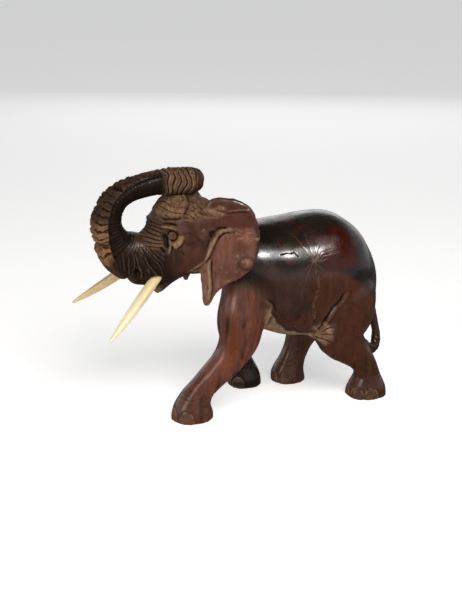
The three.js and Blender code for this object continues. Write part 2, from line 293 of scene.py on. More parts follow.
# ---------------------------------------------------------------- skin of quads and a few n-gons
class Skin:
    """Points with four-sided faces, and polygons where finer and coarser quads meet."""

    def __init__(self, points, quads, polygons=()):
        self.points = points
        self.quads = quads
        self.polygons = list(polygons)
        self.refresh()

    def refresh(self):
        pairs = [np.stack([self.quads[:, i], self.quads[:, (i + 1) % 4]], 1) for i in range(4)]
        loose = [(p[i], p[(i + 1) % len(p)]) for p in self.polygons for i in range(len(p))]
        if loose:
            pairs.append(np.array(loose))
        edges = np.sort(np.concatenate(pairs), axis=1)
        keys = np.unique(edges[:, 0] * len(self.points) + edges[:, 1])
        self.edges = np.stack([keys // len(self.points), keys % len(self.points)], 1)
        self.valence = np.maximum(np.bincount(self.edges.ravel(), minlength=len(self.points)), 1)

    def neighbour_mean(self, values):
        a, b = self.edges.T
        count = len(self.points)
        columns = values.reshape(count, -1)
        out = np.empty_like(columns)
        for c in range(columns.shape[1]):
            column = columns[:, c]
            total = np.bincount(a, weights=column[b], minlength=count)
            total += np.bincount(b, weights=column[a], minlength=count)
            out[:, c] = total / self.valence
        return out.reshape(values.shape)

    def relax(self, values, weight, steps):
        weight = weight[:, None] if values.ndim == 2 else weight
        for _ in range(steps):
            values = values + weight * (self.neighbour_mean(values) - values)
        return values

    def normals(self):
        p, q = self.points, self.quads
        face = np.cross(p[q[:, 2]] - p[q[:, 0]], p[q[:, 3]] - p[q[:, 1]])
        out = np.zeros_like(p)
        for i in range(4):
            for c in range(3):
                out[:, c] += np.bincount(q[:, i], weights=face[:, c], minlength=len(p))
        for polygon in self.polygons:
            ring = p[polygon]
            centre = ring.mean(0)
            out[polygon] += np.cross(ring - centre, np.roll(ring, -1, 0) - centre).sum(0)
        return out / np.maximum(np.linalg.norm(out, axis=1), 1e-12)[:, None]

    def split(self, chosen):
        """Cuts each chosen quad into four; quads next to them take the new points as corners."""
        count = len(self.points)
        quads = self.quads[chosen]
        nexts = np.roll(quads, -1, axis=1)
        keys = np.minimum(quads, nexts) * count + np.maximum(quads, nexts)
        unique, index = np.unique(keys, return_inverse=True)
        index = index.reshape(keys.shape)
        middles = (self.points[unique // count] + self.points[unique % count]) / 2
        centres = self.points[quads].mean(1)
        middle = count + index
        centre = count + len(unique) + np.arange(len(quads))
        fine = [np.stack([quads[:, i], middle[:, i], centre, middle[:, i - 1]], 1) for i in range(4)]
        known = dict(zip(unique.tolist(), (count + np.arange(len(unique))).tolist()))
        rest = self.quads[~chosen]
        rest_next = np.roll(rest, -1, axis=1)
        rest_keys = np.minimum(rest, rest_next) * count + np.maximum(rest, rest_next)
        touched = np.isin(rest_keys, unique).any(1)
        polygons = [self.with_middles(ring, known, count) for ring in rest[touched].tolist()]
        polygons += [self.with_middles(ring, known, count) for ring in self.polygons]
        self.points = np.concatenate([self.points, middles, centres])
        self.quads = np.concatenate([rest[~touched], *fine])
        self.polygons = polygons
        self.refresh()
        return np.arange(len(self.points)) >= count

    @staticmethod
    def with_middles(ring, known, count):
        out = []
        for a, b in zip(ring, ring[1:] + ring[:1]):
            out.append(a)
            middle = known.get(min(a, b) * count + max(a, b))
            if middle is not None:
                out.append(middle)
        return out


def to_head(points):
    x, y = points[:, 0] - NECK_X, points[:, 1]
    c, s = math.cos(HEAD_YAW), math.sin(HEAD_YAW)
    return np.stack([c * x + s * y + NECK_X, -(-s * x + c * y), points[:, 2]], 1)


# ---------------------------------------------------------------- the trunk's own coordinates
# Centre line of face and trunk in the head frame, as (x, z), from the cheeks to the tip
TRUNK_LINE = np.array([
    (-50, 142), (-58, 139), (-67, 137), (-76.4, 139), (-83, 142.5), (-89.5, 148), (-94, 156),
    (-96.8, 165.4), (-96.2, 174.6), (-92.2, 183.6), (-85.2, 190), (-75, 193.4), (-62.5, 195.2),
    (-50, 195.8), (-37, 195.2), (-27, 194), (-19.5, 193.4), (-12, 192.8),
])


def trunk_samples():
    chord = np.concatenate([[0], np.cumsum(np.hypot(*np.diff(TRUNK_LINE, axis=0).T))])
    s = np.linspace(0, chord[-1], 330)
    line = np.stack([np.interp(s, chord, TRUNK_LINE[:, 0]), np.interp(s, chord, TRUNK_LINE[:, 1])], 1)
    for _ in range(60):
        line[1:-1] = (line[:-2] + 2 * line[1:-1] + line[2:]) / 4
    way = np.gradient(line, axis=0)
    way /= np.linalg.norm(way, axis=1)[:, None]
    return s, line, np.stack([-way[:, 1], way[:, 0]], 1)


def trunk_coordinates(x, z):
    """Length along the trunk, and height over its centre line towards its outer face."""
    s, line, outward = trunk_samples()
    best = np.full(len(x), 1e9)
    index = np.zeros(len(x), int)
    for i in range(0, len(line), 2):
        distance = (x - line[i, 0]) ** 2 + (z - line[i, 1]) ** 2
        closer = distance < best
        best[closer] = distance[closer]
        index[closer] = i
    away = np.stack([x - line[index, 0], z - line[index, 1]], 1)
    tangent = np.stack([outward[index, 1], -outward[index, 0]], 1)
    along = s[index] + np.einsum("ij,ij->i", away, tangent)
    return along, np.einsum("ij,ij->i", away, outward[index])


# ---------------------------------------------------------------- carving, shared by all features
MARKS = ("pale", "rough", "dark", "red", "scratch")


def nearest(distance, names):
    return np.min([distance[name] for name in names], axis=0)


class Carver:
    """Collects how far each point moves along its normal, and the marks that colour it."""

    def __init__(self, skin, fields):
        self.skin = skin
        self.p = skin.points
        self.head = to_head(self.p)
        self.normal = skin.normals()
        distance = {name: sample(field, self.p) for name, field in fields.items()}
        self.distance = distance
        self.d_head = nearest(distance, HEAD_NODES)
        self.d_ear = nearest(distance, EAR_NODES)
        self.d_trunk = nearest(distance, TRUNK_NODES)
        self.d_body = nearest(distance, BODY_NODES)
        self.on_head = smooth((np.minimum(self.d_body, self.d_ear) - self.d_head) / 3 + 0.5)
        self.on_ear = smooth((np.minimum(self.d_body, self.d_head) - self.d_ear) / 2 + 0.5)
        self.on_body = 1 - np.maximum(self.on_head, self.on_ear)
        self.on_torso = fall(distance["torso"], 4, 3) * self.on_body
        self.push = np.zeros(len(self.p))
        self.marks = {name: np.zeros(len(self.p)) for name in MARKS}

    def in_head(self):
        """Each point's x, distance from the mid-plane, and z, all in the head frame."""
        return self.head[:, 0], np.abs(self.head[:, 1]), self.head[:, 2]

    def noise(self, size, seed):
        return lattice_noise(self.p / size, seed)

    def layered_noise(self, size, seed):
        return layered_noise(self.p / size, seed)

    def mark(self, name, amount):
        self.marks[name] = np.maximum(self.marks[name], np.clip(amount, 0, 1))

    def apply(self):
        self.skin.points = self.p + self.normal * self.push[:, None]

    def stroke(self, u, v, path, where, width, height, taper=0.15, pale=0.0, dark=0.0):
        """A ridge (height over 0) or a groove (under 0) along a path drawn in the plane (u, v)."""
        path = np.array(path, float)
        reach = 4 * width + 1
        low, high = path.min(0) - reach, path.max(0) + reach
        near = np.where((u > low[0]) & (u < high[0]) & (v > low[1]) & (v < high[1]) & (where > 0.01))[0]
        if not len(near):
            return
        distance, along = path_distance(u[near], v[near], path)
        ends = smooth(along / taper) * smooth((1 - along) / taper) if taper else 1.0
        shape = bell(distance, width) * where[near] * ends
        self.push[near] += height * shape
        if pale:
            self.marks["pale"][near] = np.maximum(self.marks["pale"][near], pale * shape)
        if dark:
            self.marks["dark"][near] = np.maximum(self.marks["dark"][near], dark * shape)


# Where the plated outer face begins, as (length along the trunk, height over its centre line)
PLATE_BORDER = [
    (30, 15), (43, 8.5), (52, 5.4), (62, 2.4), (81, 2.0), (91, 2.6), (101, 5.0), (114, 6.8), (127, 7.2),
]
PLATE_LENGTH = 4.5
RING_LENGTH = 2.9
LOBE_LENGTH = 4.75


def carve_trunk(c):
    x, side, z = c.in_head()
    s, r = trunk_coordinates(x, z)
    on = c.on_head * fall(c.d_trunk, 2.5, 2) * window(s, 36, 166, 10)
    border = profile(s, PLATE_BORDER) + 0.5 * c.noise(5, 2)
    outer = smooth((r - border) / 1.1)
    edge = rise(side, 5.5, 3)
    rim = on * window(s, 42, 150, 8)
    c.push += rim * outer * (0.9 * edge - 0.7 * (1 - edge))
    c.push -= 0.7 * rim * bell(r - border + 0.4, 0.8) * edge
    # the notched plates of the outer face
    turn = 3.7 * np.sign(c.head[:, 1]) * smooth(side / 3)
    beat = s / PLATE_LENGTH + 0.5 * line_noise(s / 7 + turn, 3) + 0.24 * c.noise(3.6, 4)
    plate = np.floor(beat).astype(int)
    notch = smooth((comb(beat) - 0.58 - 0.22 * c.noise(3, 7)) / 0.3)
    height = np.random.default_rng(5).random(80)[np.clip(plate, 0, 79)]
    tall = np.random.default_rng(6).random(80)[np.clip(plate + 1, 0, 79)]
    slope = (beat - plate - 0.5) * (tall - 0.5) * 2.2
    c.push += rim * outer * edge * (1.1 * height - 0.3 + slope)
    c.push -= (0.5 + 1.1 * tall) * rim * notch * outer * (0.4 + 0.6 * edge)
    c.push += rim * outer * (1 - edge) * 0.5 * c.noise(2.6, 9)
    c.mark("dark", 0.9 * rim * notch * outer)
    c.mark("rough", on * outer)
    warm = rim * outer * (1 - 0.75 * notch)
    lower = window(s, 34, 64, 12)
    c.rim = rim * outer * lower
    c.mark("pale", warm * (0.4 * lower + 0.05 + 0.16 * tall) * (0.72 + 0.5 * c.noise(3.1, 12)))
    c.mark("dark", 0.5 * rim * outer * window(s, 70, 118, 16))
    # fine rings on the sides, which are painted dark as shade
    rings = on * (1 - outer) * window(s, 40, 126, 8)
    ring = rise(comb(s / RING_LENGTH + 0.5 * line_noise(s / 7, 8)), 0.55, 0.4)
    c.push -= (0.32 + 0.25 * c.noise(5, 14)) * rings * ring
    c.push -= 0.5 * rings * ring * smooth((-r - 5) / 3)
    # painted shade: the trunk's sides are darkened all over
    c.mark("dark", rings)
    # tall lobes at the end of the trunk
    lobes = c.on_head * fall(c.d_trunk, 2.2, 1.6) * window(s, 123, 152.5, 4)
    sway = s / LOBE_LENGTH + 0.2 * np.sin(r * 0.34 + s * 0.21) + 0.3 * c.noise([7, 9, 9], 21)
    lobe = comb(sway)
    cut = rise(lobe, 0.66, 0.3)
    c.push += lobes * (0.5 * np.cos(lobe * 1.5) - (0.9 + 0.5 * c.noise(3, 22)) * cut)
    c.mark("dark", 0.9 * lobes * cut)
    # pale crowns of the lobes: bare cut wood, with a painted highlight along each crown
    crest = 0.34 * (1 - cut) + 0.6 * bell(lobe - 0.5, 0.13)
    c.mark("pale", lobes * crest * (0.8 + 0.5 * c.noise(2.5, 23)))
    c.mark("rough", lobes)
    # nostrils in the blunt end
    for offset in (-4.2, 4.2):
        hole = np.hypot(c.head[:, 1] - offset, z - 194.5)
        c.push -= 3.2 * c.on_head * rise(x, -19.5, 2) * fall(hole, 2.9, 1.6)
    tip = c.on_head * fall(c.d_trunk, 2, 1.5) * rise(s, 150, 5)
    c.push += 0.25 * tip * c.noise(3, 33)
    c.mark("red", 0.55 * tip)
    c.mark("dark", 0.3 * tip)


# Raised wrinkles of the cheek and trunk root, drawn in the head's (x, z) plane
CHEEK_LINES = [
    [(-76.5, 151), (-74.9, 147.4), (-72.9, 141.5), (-70.3, 133.3), (-69.5, 126)],
    [(-79.8, 147), (-79.5, 143.5), (-78.4, 137.1), (-76.1, 130.3), (-74.8, 122)],
    [(-71, 150), (-68.8, 146.9), (-65.5, 141.8), (-60.3, 135.7), (-57.5, 129)],
    [(-71.5, 137), (-68, 131.4), (-64.6, 127.5), (-60, 123.5)],
    [(-85.6, 144), (-85.1, 140.9), (-85.2, 134.3), (-84.6, 126)],
    [(-67.5, 148), (-65.1, 144.8), (-61.8, 141.6), (-57.2, 137.9)],
    [(-81.8, 147), (-81.1, 143.6), (-80.7, 137.3), (-81.3, 128)],
    [(-90, 149), (-89.2, 143), (-89, 136.5), (-88, 130)],
    [(-74, 138), (-71.5, 131.5), (-69.5, 127), (-66.5, 121.5)],
    [(-66, 139.5), (-62, 134), (-59.5, 128.5), (-58, 123)],
]


def carve_cheeks(c):
    x, side, z = c.in_head()
    where = c.on_head * rise(side, 8, 4)
    for index, path in enumerate(CHEEK_LINES):
        strength = 0.55 + 0.45 * (index in (0, 1, 3))
        c.stroke(x, z, path, where, 0.5, 0.75 * strength, 0.2, pale=1.15 * strength)
        c.stroke(x - 1.3, z - 0.4, path, where, 0.75, -0.65, 0.2, dark=0.95)
        c.stroke(x + 1.3, z + 0.2, path, where, 0.75, -0.5, 0.2, dark=0.9)
    s, r = trunk_coordinates(x, z)
    fan = where * window(s, 8, 46, 8) * rise(r, -15, 5)
    line = rise(comb(s / 2.6 + r * 0.03), 0.5, 0.45)
    c.push -= 0.3 * fan * line
    c.mark("dark", 0.82 * where * window(s, 6, 46, 10) * fall(z, 150, 6))
    muzzle = c.on_head * window(x, -70, -57, 5) * window(z, 146, 166, 5)
    level = rise(comb(z / 2.7 + x * 0.08 + 0.4 * c.noise(6, 41)), 0.5, 0.4)
    c.push -= 0.45 * muzzle * level
    c.mark("pale", 0.3 * muzzle * (1 - level))
    c.mark("rough", muzzle)


EYE = (-51.4, 157.3)
EYE_RADIUS = 3.4
# Folds around the eye, drawn in the head's (x, z) plane
UPPER_LID = [(-62, 159.4), (-59.8, 161.2), (-57.3, 163.1), (-53.8, 163.7), (-49.4, 162.1), (-47.0, 159.8)]
LID_GROOVE = [(-57.5, 165.4), (-54.1, 166.0), (-50, 166.0), (-46, 165.2)]
FRONT_FOLD = [(-54.6, 159.4), (-54.2, 156.5), (-53.6, 153.2), (-53.6, 149.6), (-54.4, 145.8), (-56.2, 142)]
LOWER_FLAP = [(-45.8, 158), (-46, 155), (-47.2, 152.4), (-49.4, 150.4), (-52.2, 148.6)]
EYE_HOLLOW = [(-57.4, 159.6), (-56.6, 155.4), (-56, 150.6), (-56.4, 147)]
LOW_HOLLOW = [(-61, 149.2), (-59, 146.6), (-57.4, 143.6)]
# Hollows between the eye and the ear, as (x, z, reach, depth)
TEMPLE_HOLLOWS = [
    (-39.5, 164.5, 6.5, 1.4), (-38.6, 158, 7.5, 1.3), (-37.4, 150, 8, 1.6), (-30, 146.5, 7, 1.1),
]
CROWS_FEET = [
    [(-43.8, 157), (-40, 158.6), (-36.5, 158)], [(-44.6, 151.5), (-41.5, 150.2), (-39.4, 147.6)],
    [(-47.5, 146.4), (-44.5, 143.8), (-43, 140.2)],
]
# Grooves that run down from the ear over the back of the cheek
CHEEK_GROOVES = [
    [(-23, 143), (-29.8, 135.7), (-34.9, 129.5)], [(-25, 134), (-31.3, 128.1), (-36, 123.5)],
    [(-26, 140), (-31.5, 132), (-36.5, 126)],
]


def carve_face(c):
    x, side, z = c.in_head()
    where = c.on_head * rise(side, 12, 4)
    out = np.hypot((x - EYE[0]) * 1.12, z - EYE[1])
    c.push -= 1.9 * where * fall(out, 7.0, 3.5)
    ball = np.sqrt(np.clip(1 - (out / EYE_RADIUS) ** 2, 0, 1))
    c.push += 2.5 * where * ball
    c.push -= 0.8 * where * bell(out - 3.8, 0.55)
    behind = smooth((x - EYE[0] + 1) / 4)
    pupil = bell(np.hypot(x + 50.6, z - 158.2), 0.9)
    c.mark("dark", where * np.maximum(0.85 * bell(out - 4.0, 0.7) * behind, 0.6 * pupil))
    c.mark("pale", 0.2 * where * bell(out - 1.8, 1.2))
    c.mark("rough", where * fall(out, 9, 3))
    c.stroke(x, z, UPPER_LID, where, 1.0, 1.3, 0.25, pale=0.75)
    c.stroke(x, z - 1.9, UPPER_LID, where, 0.7, 0.5, 0.25, pale=0.4)
    c.stroke(x, z, LID_GROOVE, where, 0.9, -1.1, 0.25, dark=0.9)
    c.stroke(x, z, LOWER_FLAP, where, 2.1, 2.1, 0.25, pale=2.4)
    c.stroke(x - 2.6, z + 2.4, LOWER_FLAP, where, 1.0, -0.6, 0.25, dark=0.45)
    # painted shade: the hollows in front of and under the eye are darkened as well as dug
    c.stroke(x, z, EYE_HOLLOW, where, 1.7, -2.4, 0.25, dark=1.5)
    c.stroke(x, z, LOW_HOLLOW, where, 1.3, -1.7, 0.25, dark=1.3)
    c.stroke(x, z, FRONT_FOLD, where, 0.8, 1.3, 0.2, pale=1.0)
    bump = np.hypot(x + 30.6, z - 158.2)
    c.push += 1.5 * where * fall(bump, 6.5, 4.5)
    # painted shade: each hollow is dug in and also darkened
    for cx, cz, reach, depth in TEMPLE_HOLLOWS:
        hollow = where * smooth((reach - np.hypot(x - cx, z - cz)) / reach)
        c.push -= depth * hollow
        c.mark("dark", 0.42 * hollow)
    temple = where * window(x, -46, -20, 8)
    c.mark("red", 0.85 * temple)
    c.mark("rough", 0.45 * temple)
    for path in CROWS_FEET:
        c.stroke(x, z, path, where, 0.7, -0.35, 0.3, dark=0.2)
    for path in CHEEK_GROOVES:
        c.stroke(x, z, path, where, 0.8, -0.5, 0.2, dark=0.4)
        c.stroke(x + 1.2, z + 0.8, path, where, 0.8, 0.5, 0.2, pale=0.85)


# Tool cuts on the forehead in the head's (x, z) plane, as (path, width, depth, darkness)
FOREHEAD_CUTS = [
    ([(-30, 187), (-33, 181), (-37, 176), (-41.5, 171.5)], 0.9, 0.7, 0.4),
    ([(-41.5, 171.5), (-46, 169.6), (-52, 169.2), (-57, 168.4)], 0.9, 0.9, 0.6),
    ([(-50, 183), (-47, 185), (-44.5, 182), (-47, 178.5), (-50, 180)], 0.7, 0.6, 0.5),
    ([(-40.5, 184), (-38, 185.5), (-36.5, 182.5), (-39, 180)], 0.7, 0.5, 0.45),
]
# Torn pale wood between the head and the left ear, in the carving's (x, z) plane
NECK_PATCH = [(-34, 171), (-25, 175.5), (-17, 174.5), (-11.5, 176.6)]


def carve_forehead(c):
    x, side, z = c.in_head()
    top = c.on_head * rise(z, 165, 7) * rise(c.d_trunk, 0.6, 1.5) * window(x, -60, -20, 8)
    knots = c.layered_noise(4.2, 51)
    plane = c.noise(9, 55)
    c.push += top * (0.6 * knots + 0.9 * plane + 0.2 * c.noise(1.7, 54))
    block = window(x, -58, -31 - 0.75 * (187 - z), 3) * rise(z, 169.5, 3)
    c.push += 0.9 * top * block
    c.mark("pale", top * (0.36 + 0.3 * block + 0.35 * knots))
    c.mark("rough", top)
    sides = c.on_head * rise(side, 4, 4)
    for path, width, depth, dark in FOREHEAD_CUTS:
        c.stroke(x, z, path, sides, width, -depth, 0.2, dark=dark)
    wrinkle = z * 0.2 + x * 0.1 + 1.1 * c.noise([11, 14, 11], 52)
    gash = rise(comb(wrinkle), 0.72, 0.25) * smooth(c.noise(6, 53) * 1.6 + 0.5)
    c.push -= 0.55 * top * gash
    c.mark("dark", 0.45 * top * gash)
    # painted shade where the end of the trunk lies on the forehead
    between = smooth((3 - np.abs(c.d_trunk - c.distance["head"])) / 3)
    crease = c.on_head * between * window(trunk_coordinates(x, z)[0], 118, 158, 4)
    c.push -= 0.8 * crease * smooth((c.on_head - 0.5) * 4)
    c.mark("dark", 0.85 * crease)
    distance, _ = path_distance(c.p[:, 0], z, NECK_PATCH)
    neck = np.maximum(c.on_head, c.on_ear) * fall(distance, 6.0, 4) * smooth((8 - c.p[:, 1]) / 8)
    torn = layered_noise(c.p * [0.16, 0.16, 0.5] + c.p[:, :1] * [0, 0, 0.12], 58)
    c.mark("pale", 0.75 * neck * (0.6 + 0.8 * torn))
    c.mark("dark", 0.6 * neck * smooth(-torn * 2 - 0.2))
    c.mark("rough", neck)
    c.push += 0.6 * neck * torn


def carve_jaw(c):
    x, side, z = c.in_head()
    jaw = c.distance["lower_jaw"]
    seam = c.on_head * smooth((2.5 - np.abs(jaw - c.distance["head"])) / 2.5) * fall(jaw, 2.5, 2.5)
    c.push -= 0.6 * seam * fall(z, 122, 4)
    c.mark("dark", 0.85 * seam)
    c.mark("pale", 0.55 * c.on_head * fall(x, -52, 3) * fall(z, 112, 3))
    chin = c.on_head * fall(z, 126, 6) * rise(x, -46, 6)
    c.mark("rough", chin)


# Lines on the left ear, drawn in the (x, z) plane; the right ear repeats them, narrower and lower
EAR_RIDGE = [
    (-25.5, 135), (-20.9, 143.4), (-17.6, 151), (-14.4, 157.4), (-10, 161.2), (-5, 161.5), (-1, 159.4),
]
EAR_SEAM = [(-20.2, 139), (-19.8, 125), (-19.3, 114.3), (-20.8, 103)]
EAR_BAND = [(-4, 160), (2, 158.4), (8, 156.8), (15.5, 155.3)]
EAR_LIP = [(-10, 175.4), (-5.9, 176.5), (2.8, 177.7), (12.9, 176.8)]
EAR_VEINS = [
    [(-12, 150), (-9, 140), (-10, 128), (-14, 117)], [(-3, 150), (1, 141), (3, 131), (2, 124)],
    [(-17, 139), (-16, 128), (-18, 116)],
]
EAR_SCRATCHES = [
    [(-1.5, 141.8), (0.2, 140.6), (2.4, 140.4)], [(-8, 121), (-5.5, 119.6), (-3, 120.4)],
    [(6.5, 138.5), (9.5, 135.2), (11.5, 136.5)],
]
# Rounded lumps (over 0) and hollows (under 0) of the ear, as (x, z, reach, fade, height)
EAR_SWELLS = [(9, 154, 9, 7, 0.8), (1, 143, 11, 9, -1.1), (-8, 130, 10, 8, 0.9)]
# Where the ear meets the temple, as (z, x)
EAR_ROOT = [
    (104, -27), (125, -25), (135.5, -23.5), (143.4, -21.4), (151, -18.1), (158.4, -14.3), (161.3, -9.5),
]


def carve_ears(c):
    x, y, z = c.p.T
    for side, squeeze, lift in ((-1, 1.0, 0.0), (1, 0.8, -11.0)):
        where = c.on_ear * smooth(side * y / 4)
        u = (x + 20) / squeeze - 20
        v = z - lift
        outside = where * smooth(side * c.normal[:, 1] * 2 + 0.3)
        c.stroke(u, v, EAR_RIDGE, outside, 1.6, 1.4, 0.12, pale=1.25)
        c.stroke(u - 2.8, v + 1.4, EAR_RIDGE, outside, 1.6, -0.8, 0.12, dark=0.25)
        c.stroke(u + 2.6, v - 1.6, EAR_RIDGE, outside, 1.5, -1.1, 0.15, dark=0.55)
        c.stroke(u, v, EAR_SEAM, outside, 1.2, 0.7, 0.1, pale=1.3)
        c.stroke(u - 2, v, EAR_SEAM, outside, 0.9, -0.6, 0.1, dark=0.45)
        pit = np.hypot(u + 17.6, v - 158.4)
        c.push -= 1.3 * outside * fall(pit, 4.5, 3.5)
        # painted shade in the pit where the ear meets the temple
        c.mark("dark", 0.85 * where * fall(pit, 4.5, 3))
        c.mark("rough", where * fall(pit, 7, 3))
        # scratches and dents along the band under the ridge
        off, _ = path_distance(u, v, EAR_BAND)
        band = outside * fall(off, 5.5, 4)
        chips = c.noise(1.5, 65)
        c.push -= 0.16 * band * smooth(chips * 2 - 0.2)
        c.mark("pale", 0.8 * band * smooth((c.noise([2.2, 2, 1.1], 67) - 0.1) / 0.4))
        # crisp lip under the rolled upper rim
        c.stroke(u, v, EAR_LIP, outside, 0.6, 0.5, 0.3, pale=0.3)
        c.stroke(u, v + 2, EAR_LIP, outside, 1.2, -0.35, 0.3, dark=0.1)
        knob = np.hypot((u - 8.2) / 1.1, v - 134.5)
        c.push += 1.3 * outside * fall(knob, 5.5, 4)
        c.mark("dark", 0.45 * where * bell(knob - 5.2, 1.2))
        c.mark("pale", 0.7 * where * fall(knob, 4.5, 3) * smooth(c.noise(1.6, 68) * 2))
        for cx, cz, reach, fade, height in EAR_SWELLS:
            c.push += height * outside * smooth((reach - np.hypot(u - cx, v - cz)) / fade)
        for path in EAR_VEINS:
            c.stroke(u, v, path, outside, 1.3, 0.5, 0.3)
        c.push += 0.45 * where * c.noise(6, 61)
        root = outside * fall(u, -15, 6) * window(v, 98, 136, 8)
        c.mark("pale", root * (0.3 + 0.5 * c.layered_noise([4, 4, 9], 63)))
        c.push += 0.4 * root * c.layered_noise([3, 3, 9], 64)
        before = smooth((profile(v, EAR_ROOT) - u + 1) / 2) * rise(v, 130, 6)
        c.mark("red", 0.95 * where * np.maximum(rise(v, 162.5, 2.5), before))
        for path in EAR_SCRATCHES:
            c.stroke(u, v, path, outside, 0.9, -0.15, 0.2, pale=0.85)
        blots = rise(c.noise(2.2, 66), 0.45, 0.3)
        c.mark("pale", 0.5 * where * blots * fall(v, 150, 20))


# Star of drying cracks on the flanks, drawn in the (x, z) plane: each ray as (path, strength)
STAR = (64.9, 129.9)
RAYS = [
    ([STAR, (59, 139.5), (50.1, 151.1)], 0.6), ([STAR, (63.4, 140), (62, 150.3)], 0.7),
    ([STAR, (70, 137), (73.5, 143.5)], 0.9), ([STAR, (73, 136.4), (85.1, 138.6)], 0.9),
    ([STAR, (76, 134), (88.1, 136.1)], 0.7), ([STAR, (71, 130.4), (77.5, 131.8)], 0.8),
    ([STAR, (68.5, 127), (72.5, 122.5)], 0.8), ([STAR, (60, 127.5), (54.6, 123.1)], 0.6),
    ([STAR, (60.1, 124.2), (56, 113.5), (53.6, 105)], 0.55), ([STAR, (59, 132.6), (53, 133)], 0.6),
    ([STAR, (67.5, 134.5), (68, 141)], 0.7), ([STAR, (62, 134), (58, 136.6)], 0.7),
    ([(56, 113.5), (52.4, 102.7)], 0.4),
]
MAIN_CRACK = [
    STAR, (65.9, 123.8), (67, 118.2), (67.6, 110.8), (66.5, 103.3), (63.5, 95.7), (65, 88), (66.2, 82),
]
SHINE_CRACK = [(37.6, 135.9), (42.4, 137.6), (46.3, 136.6), (49.7, 137.3), (53.2, 134.3)]
GROIN_CREASE = [(68.5, 63), (70.5, 67.4), (73.5, 76.5), (78.8, 86.5), (86.7, 96.8), (94.5, 104.6)]
GROIN_FAN = [
    [(70, 66), (77, 75.5), (84, 79)], [(70, 65), (79, 71.5), (86, 74)], [(70, 64), (78, 66), (86, 66.5)],
    [(70, 62), (77, 60.5), (84, 57.5)], [(70, 60), (75, 56), (80, 51.5)],
]
BELLY_LINE = [(29, 95), (31.5, 89), (36, 82), (41, 76.5), (47, 71), (54, 67.5), (61, 66), (69, 66.5)]
ELBOW_UP = [(34, 88), (31, 97), (27, 104)]
ELBOW_DOWN = [(33, 87), (31, 80), (27, 74)]
# The far legs stand this much further forward, so their folds do too
FAR_STRIDE = 3


def crack_distance(c):
    """Distance from any crack of the star, for cutting the skin finer beside them."""
    x, z = c.p[:, 0], c.p[:, 2]
    best = np.full(len(x), 99.0)
    for path in [r[0] for r in RAYS] + [MAIN_CRACK, SHINE_CRACK]:
        best = np.minimum(best, path_distance(x, z, path)[0])
    return np.where((c.on_torso > 0.5) & (c.p[:, 1] < -12), best, 99.0)


def carve_cracks(c):
    x, y, z = c.p.T
    left = c.on_torso * smooth((-y - 12) / 6)
    wander = 0.55 * c.noise(3.2, 71)
    u, v = x + wander, z + 0.55 * c.noise(3.2, 72)
    for path, strength in RAYS:
        c.stroke(u, v, path, left, 0.3, -0.1 * strength, 0.25)
        distance, along = path_distance(u, v, path)
        c.mark("scratch", left * strength * fall(distance, 0.4, 0.32) * fall(along, 1.02, 0.3))
    beads = 0.75 + 0.25 * np.sin(z * 2.4)
    c.stroke(u, v, MAIN_CRACK, left * beads, 0.45, -0.5, 0.05)
    distance, _ = path_distance(u, v, MAIN_CRACK)
    c.mark("scratch", left * fall(distance, 0.75, 0.5) * (0.2 + 0.7 * beads))
    c.stroke(u, v, SHINE_CRACK, left, 0.35, -0.4, 0.1, dark=0.9)


def carve_folds(c):
    x, y, z = c.p.T
    for side in (-1, 1):
        where = c.on_body * smooth((side * y - 14) / 6)
        u = x + FAR_STRIDE * (side > 0) + 1.1 * c.noise(6, 78)
        v = z + 1.1 * c.noise(6, 79)
        c.stroke(u, v, GROIN_CREASE, where, 1.2, -1.3, 0.2, dark=0.6)
        c.stroke(u - 2.4, v + 1.6, GROIN_CREASE, where, 1.4, 0.8, 0.2)
        for index, path in enumerate(GROIN_FAN):
            c.stroke(u, v, path, where, 0.6, -0.6 - 0.25 * (index % 2), 0.3, dark=0.45)
        fan = np.hypot((u - 76) / 9.5, (v - 66) / 12.5) + 0.2 * c.noise(5, 80)
        inside = where * fall(fan, 1.1, 0.5)
        c.push += 0.55 * inside * c.layered_noise(3.4, 82)
        c.mark("pale", inside * (0.78 + 0.4 * c.noise(2.7, 81)))
        c.mark("rough", where * fall(fan, 1.2, 0.4))
        # rough band left along the underside, behind the elbow
        under = smooth((profile(u, BELLY_LINE) - v) / 3.5) * smooth(side * y / 6 + 0.5)
        belly = c.on_body * window(u, 26, 72, 5) * under
        for leg in LEG_NODES:
            belly = belly * smooth((c.distance[leg] + (1.5 if leg == "left_foreleg" else 0.0)) / 2)
        c.mark("pale", 1.1 * belly * (0.8 + 0.35 * c.layered_noise(4, 84)))
        c.mark("rough", belly)
        c.push -= 0.3 * belly * smooth(c.layered_noise(3.1, 86) + 0.3)
        c.stroke(u, v, BELLY_LINE, where, 1.1, -0.55, 0.15, dark=0.55)
        c.stroke(u, v, ELBOW_UP, where, 1.3, -1.0, 0.25, dark=0.7)
        c.stroke(u + 2.4, v + 1, ELBOW_UP, where, 1.2, 0.5, 0.25, pale=0.35)
        c.stroke(u, v, ELBOW_DOWN, where, 1.2, -0.9, 0.25, dark=0.7)


# Each foot as (node, nail bearings in degrees from straight ahead, towards the left side)
FEET = [
    ("left_foreleg", (58, 4, -48)), ("right_foreleg", (50, -4, -56)),
    ("left_hindleg", (38, -14, 84)), ("right_hindleg", (62, 8, -46)),
]
FOOT_RADIUS = 15.5
ANKLE_CREASES = (17.5, 20.4)


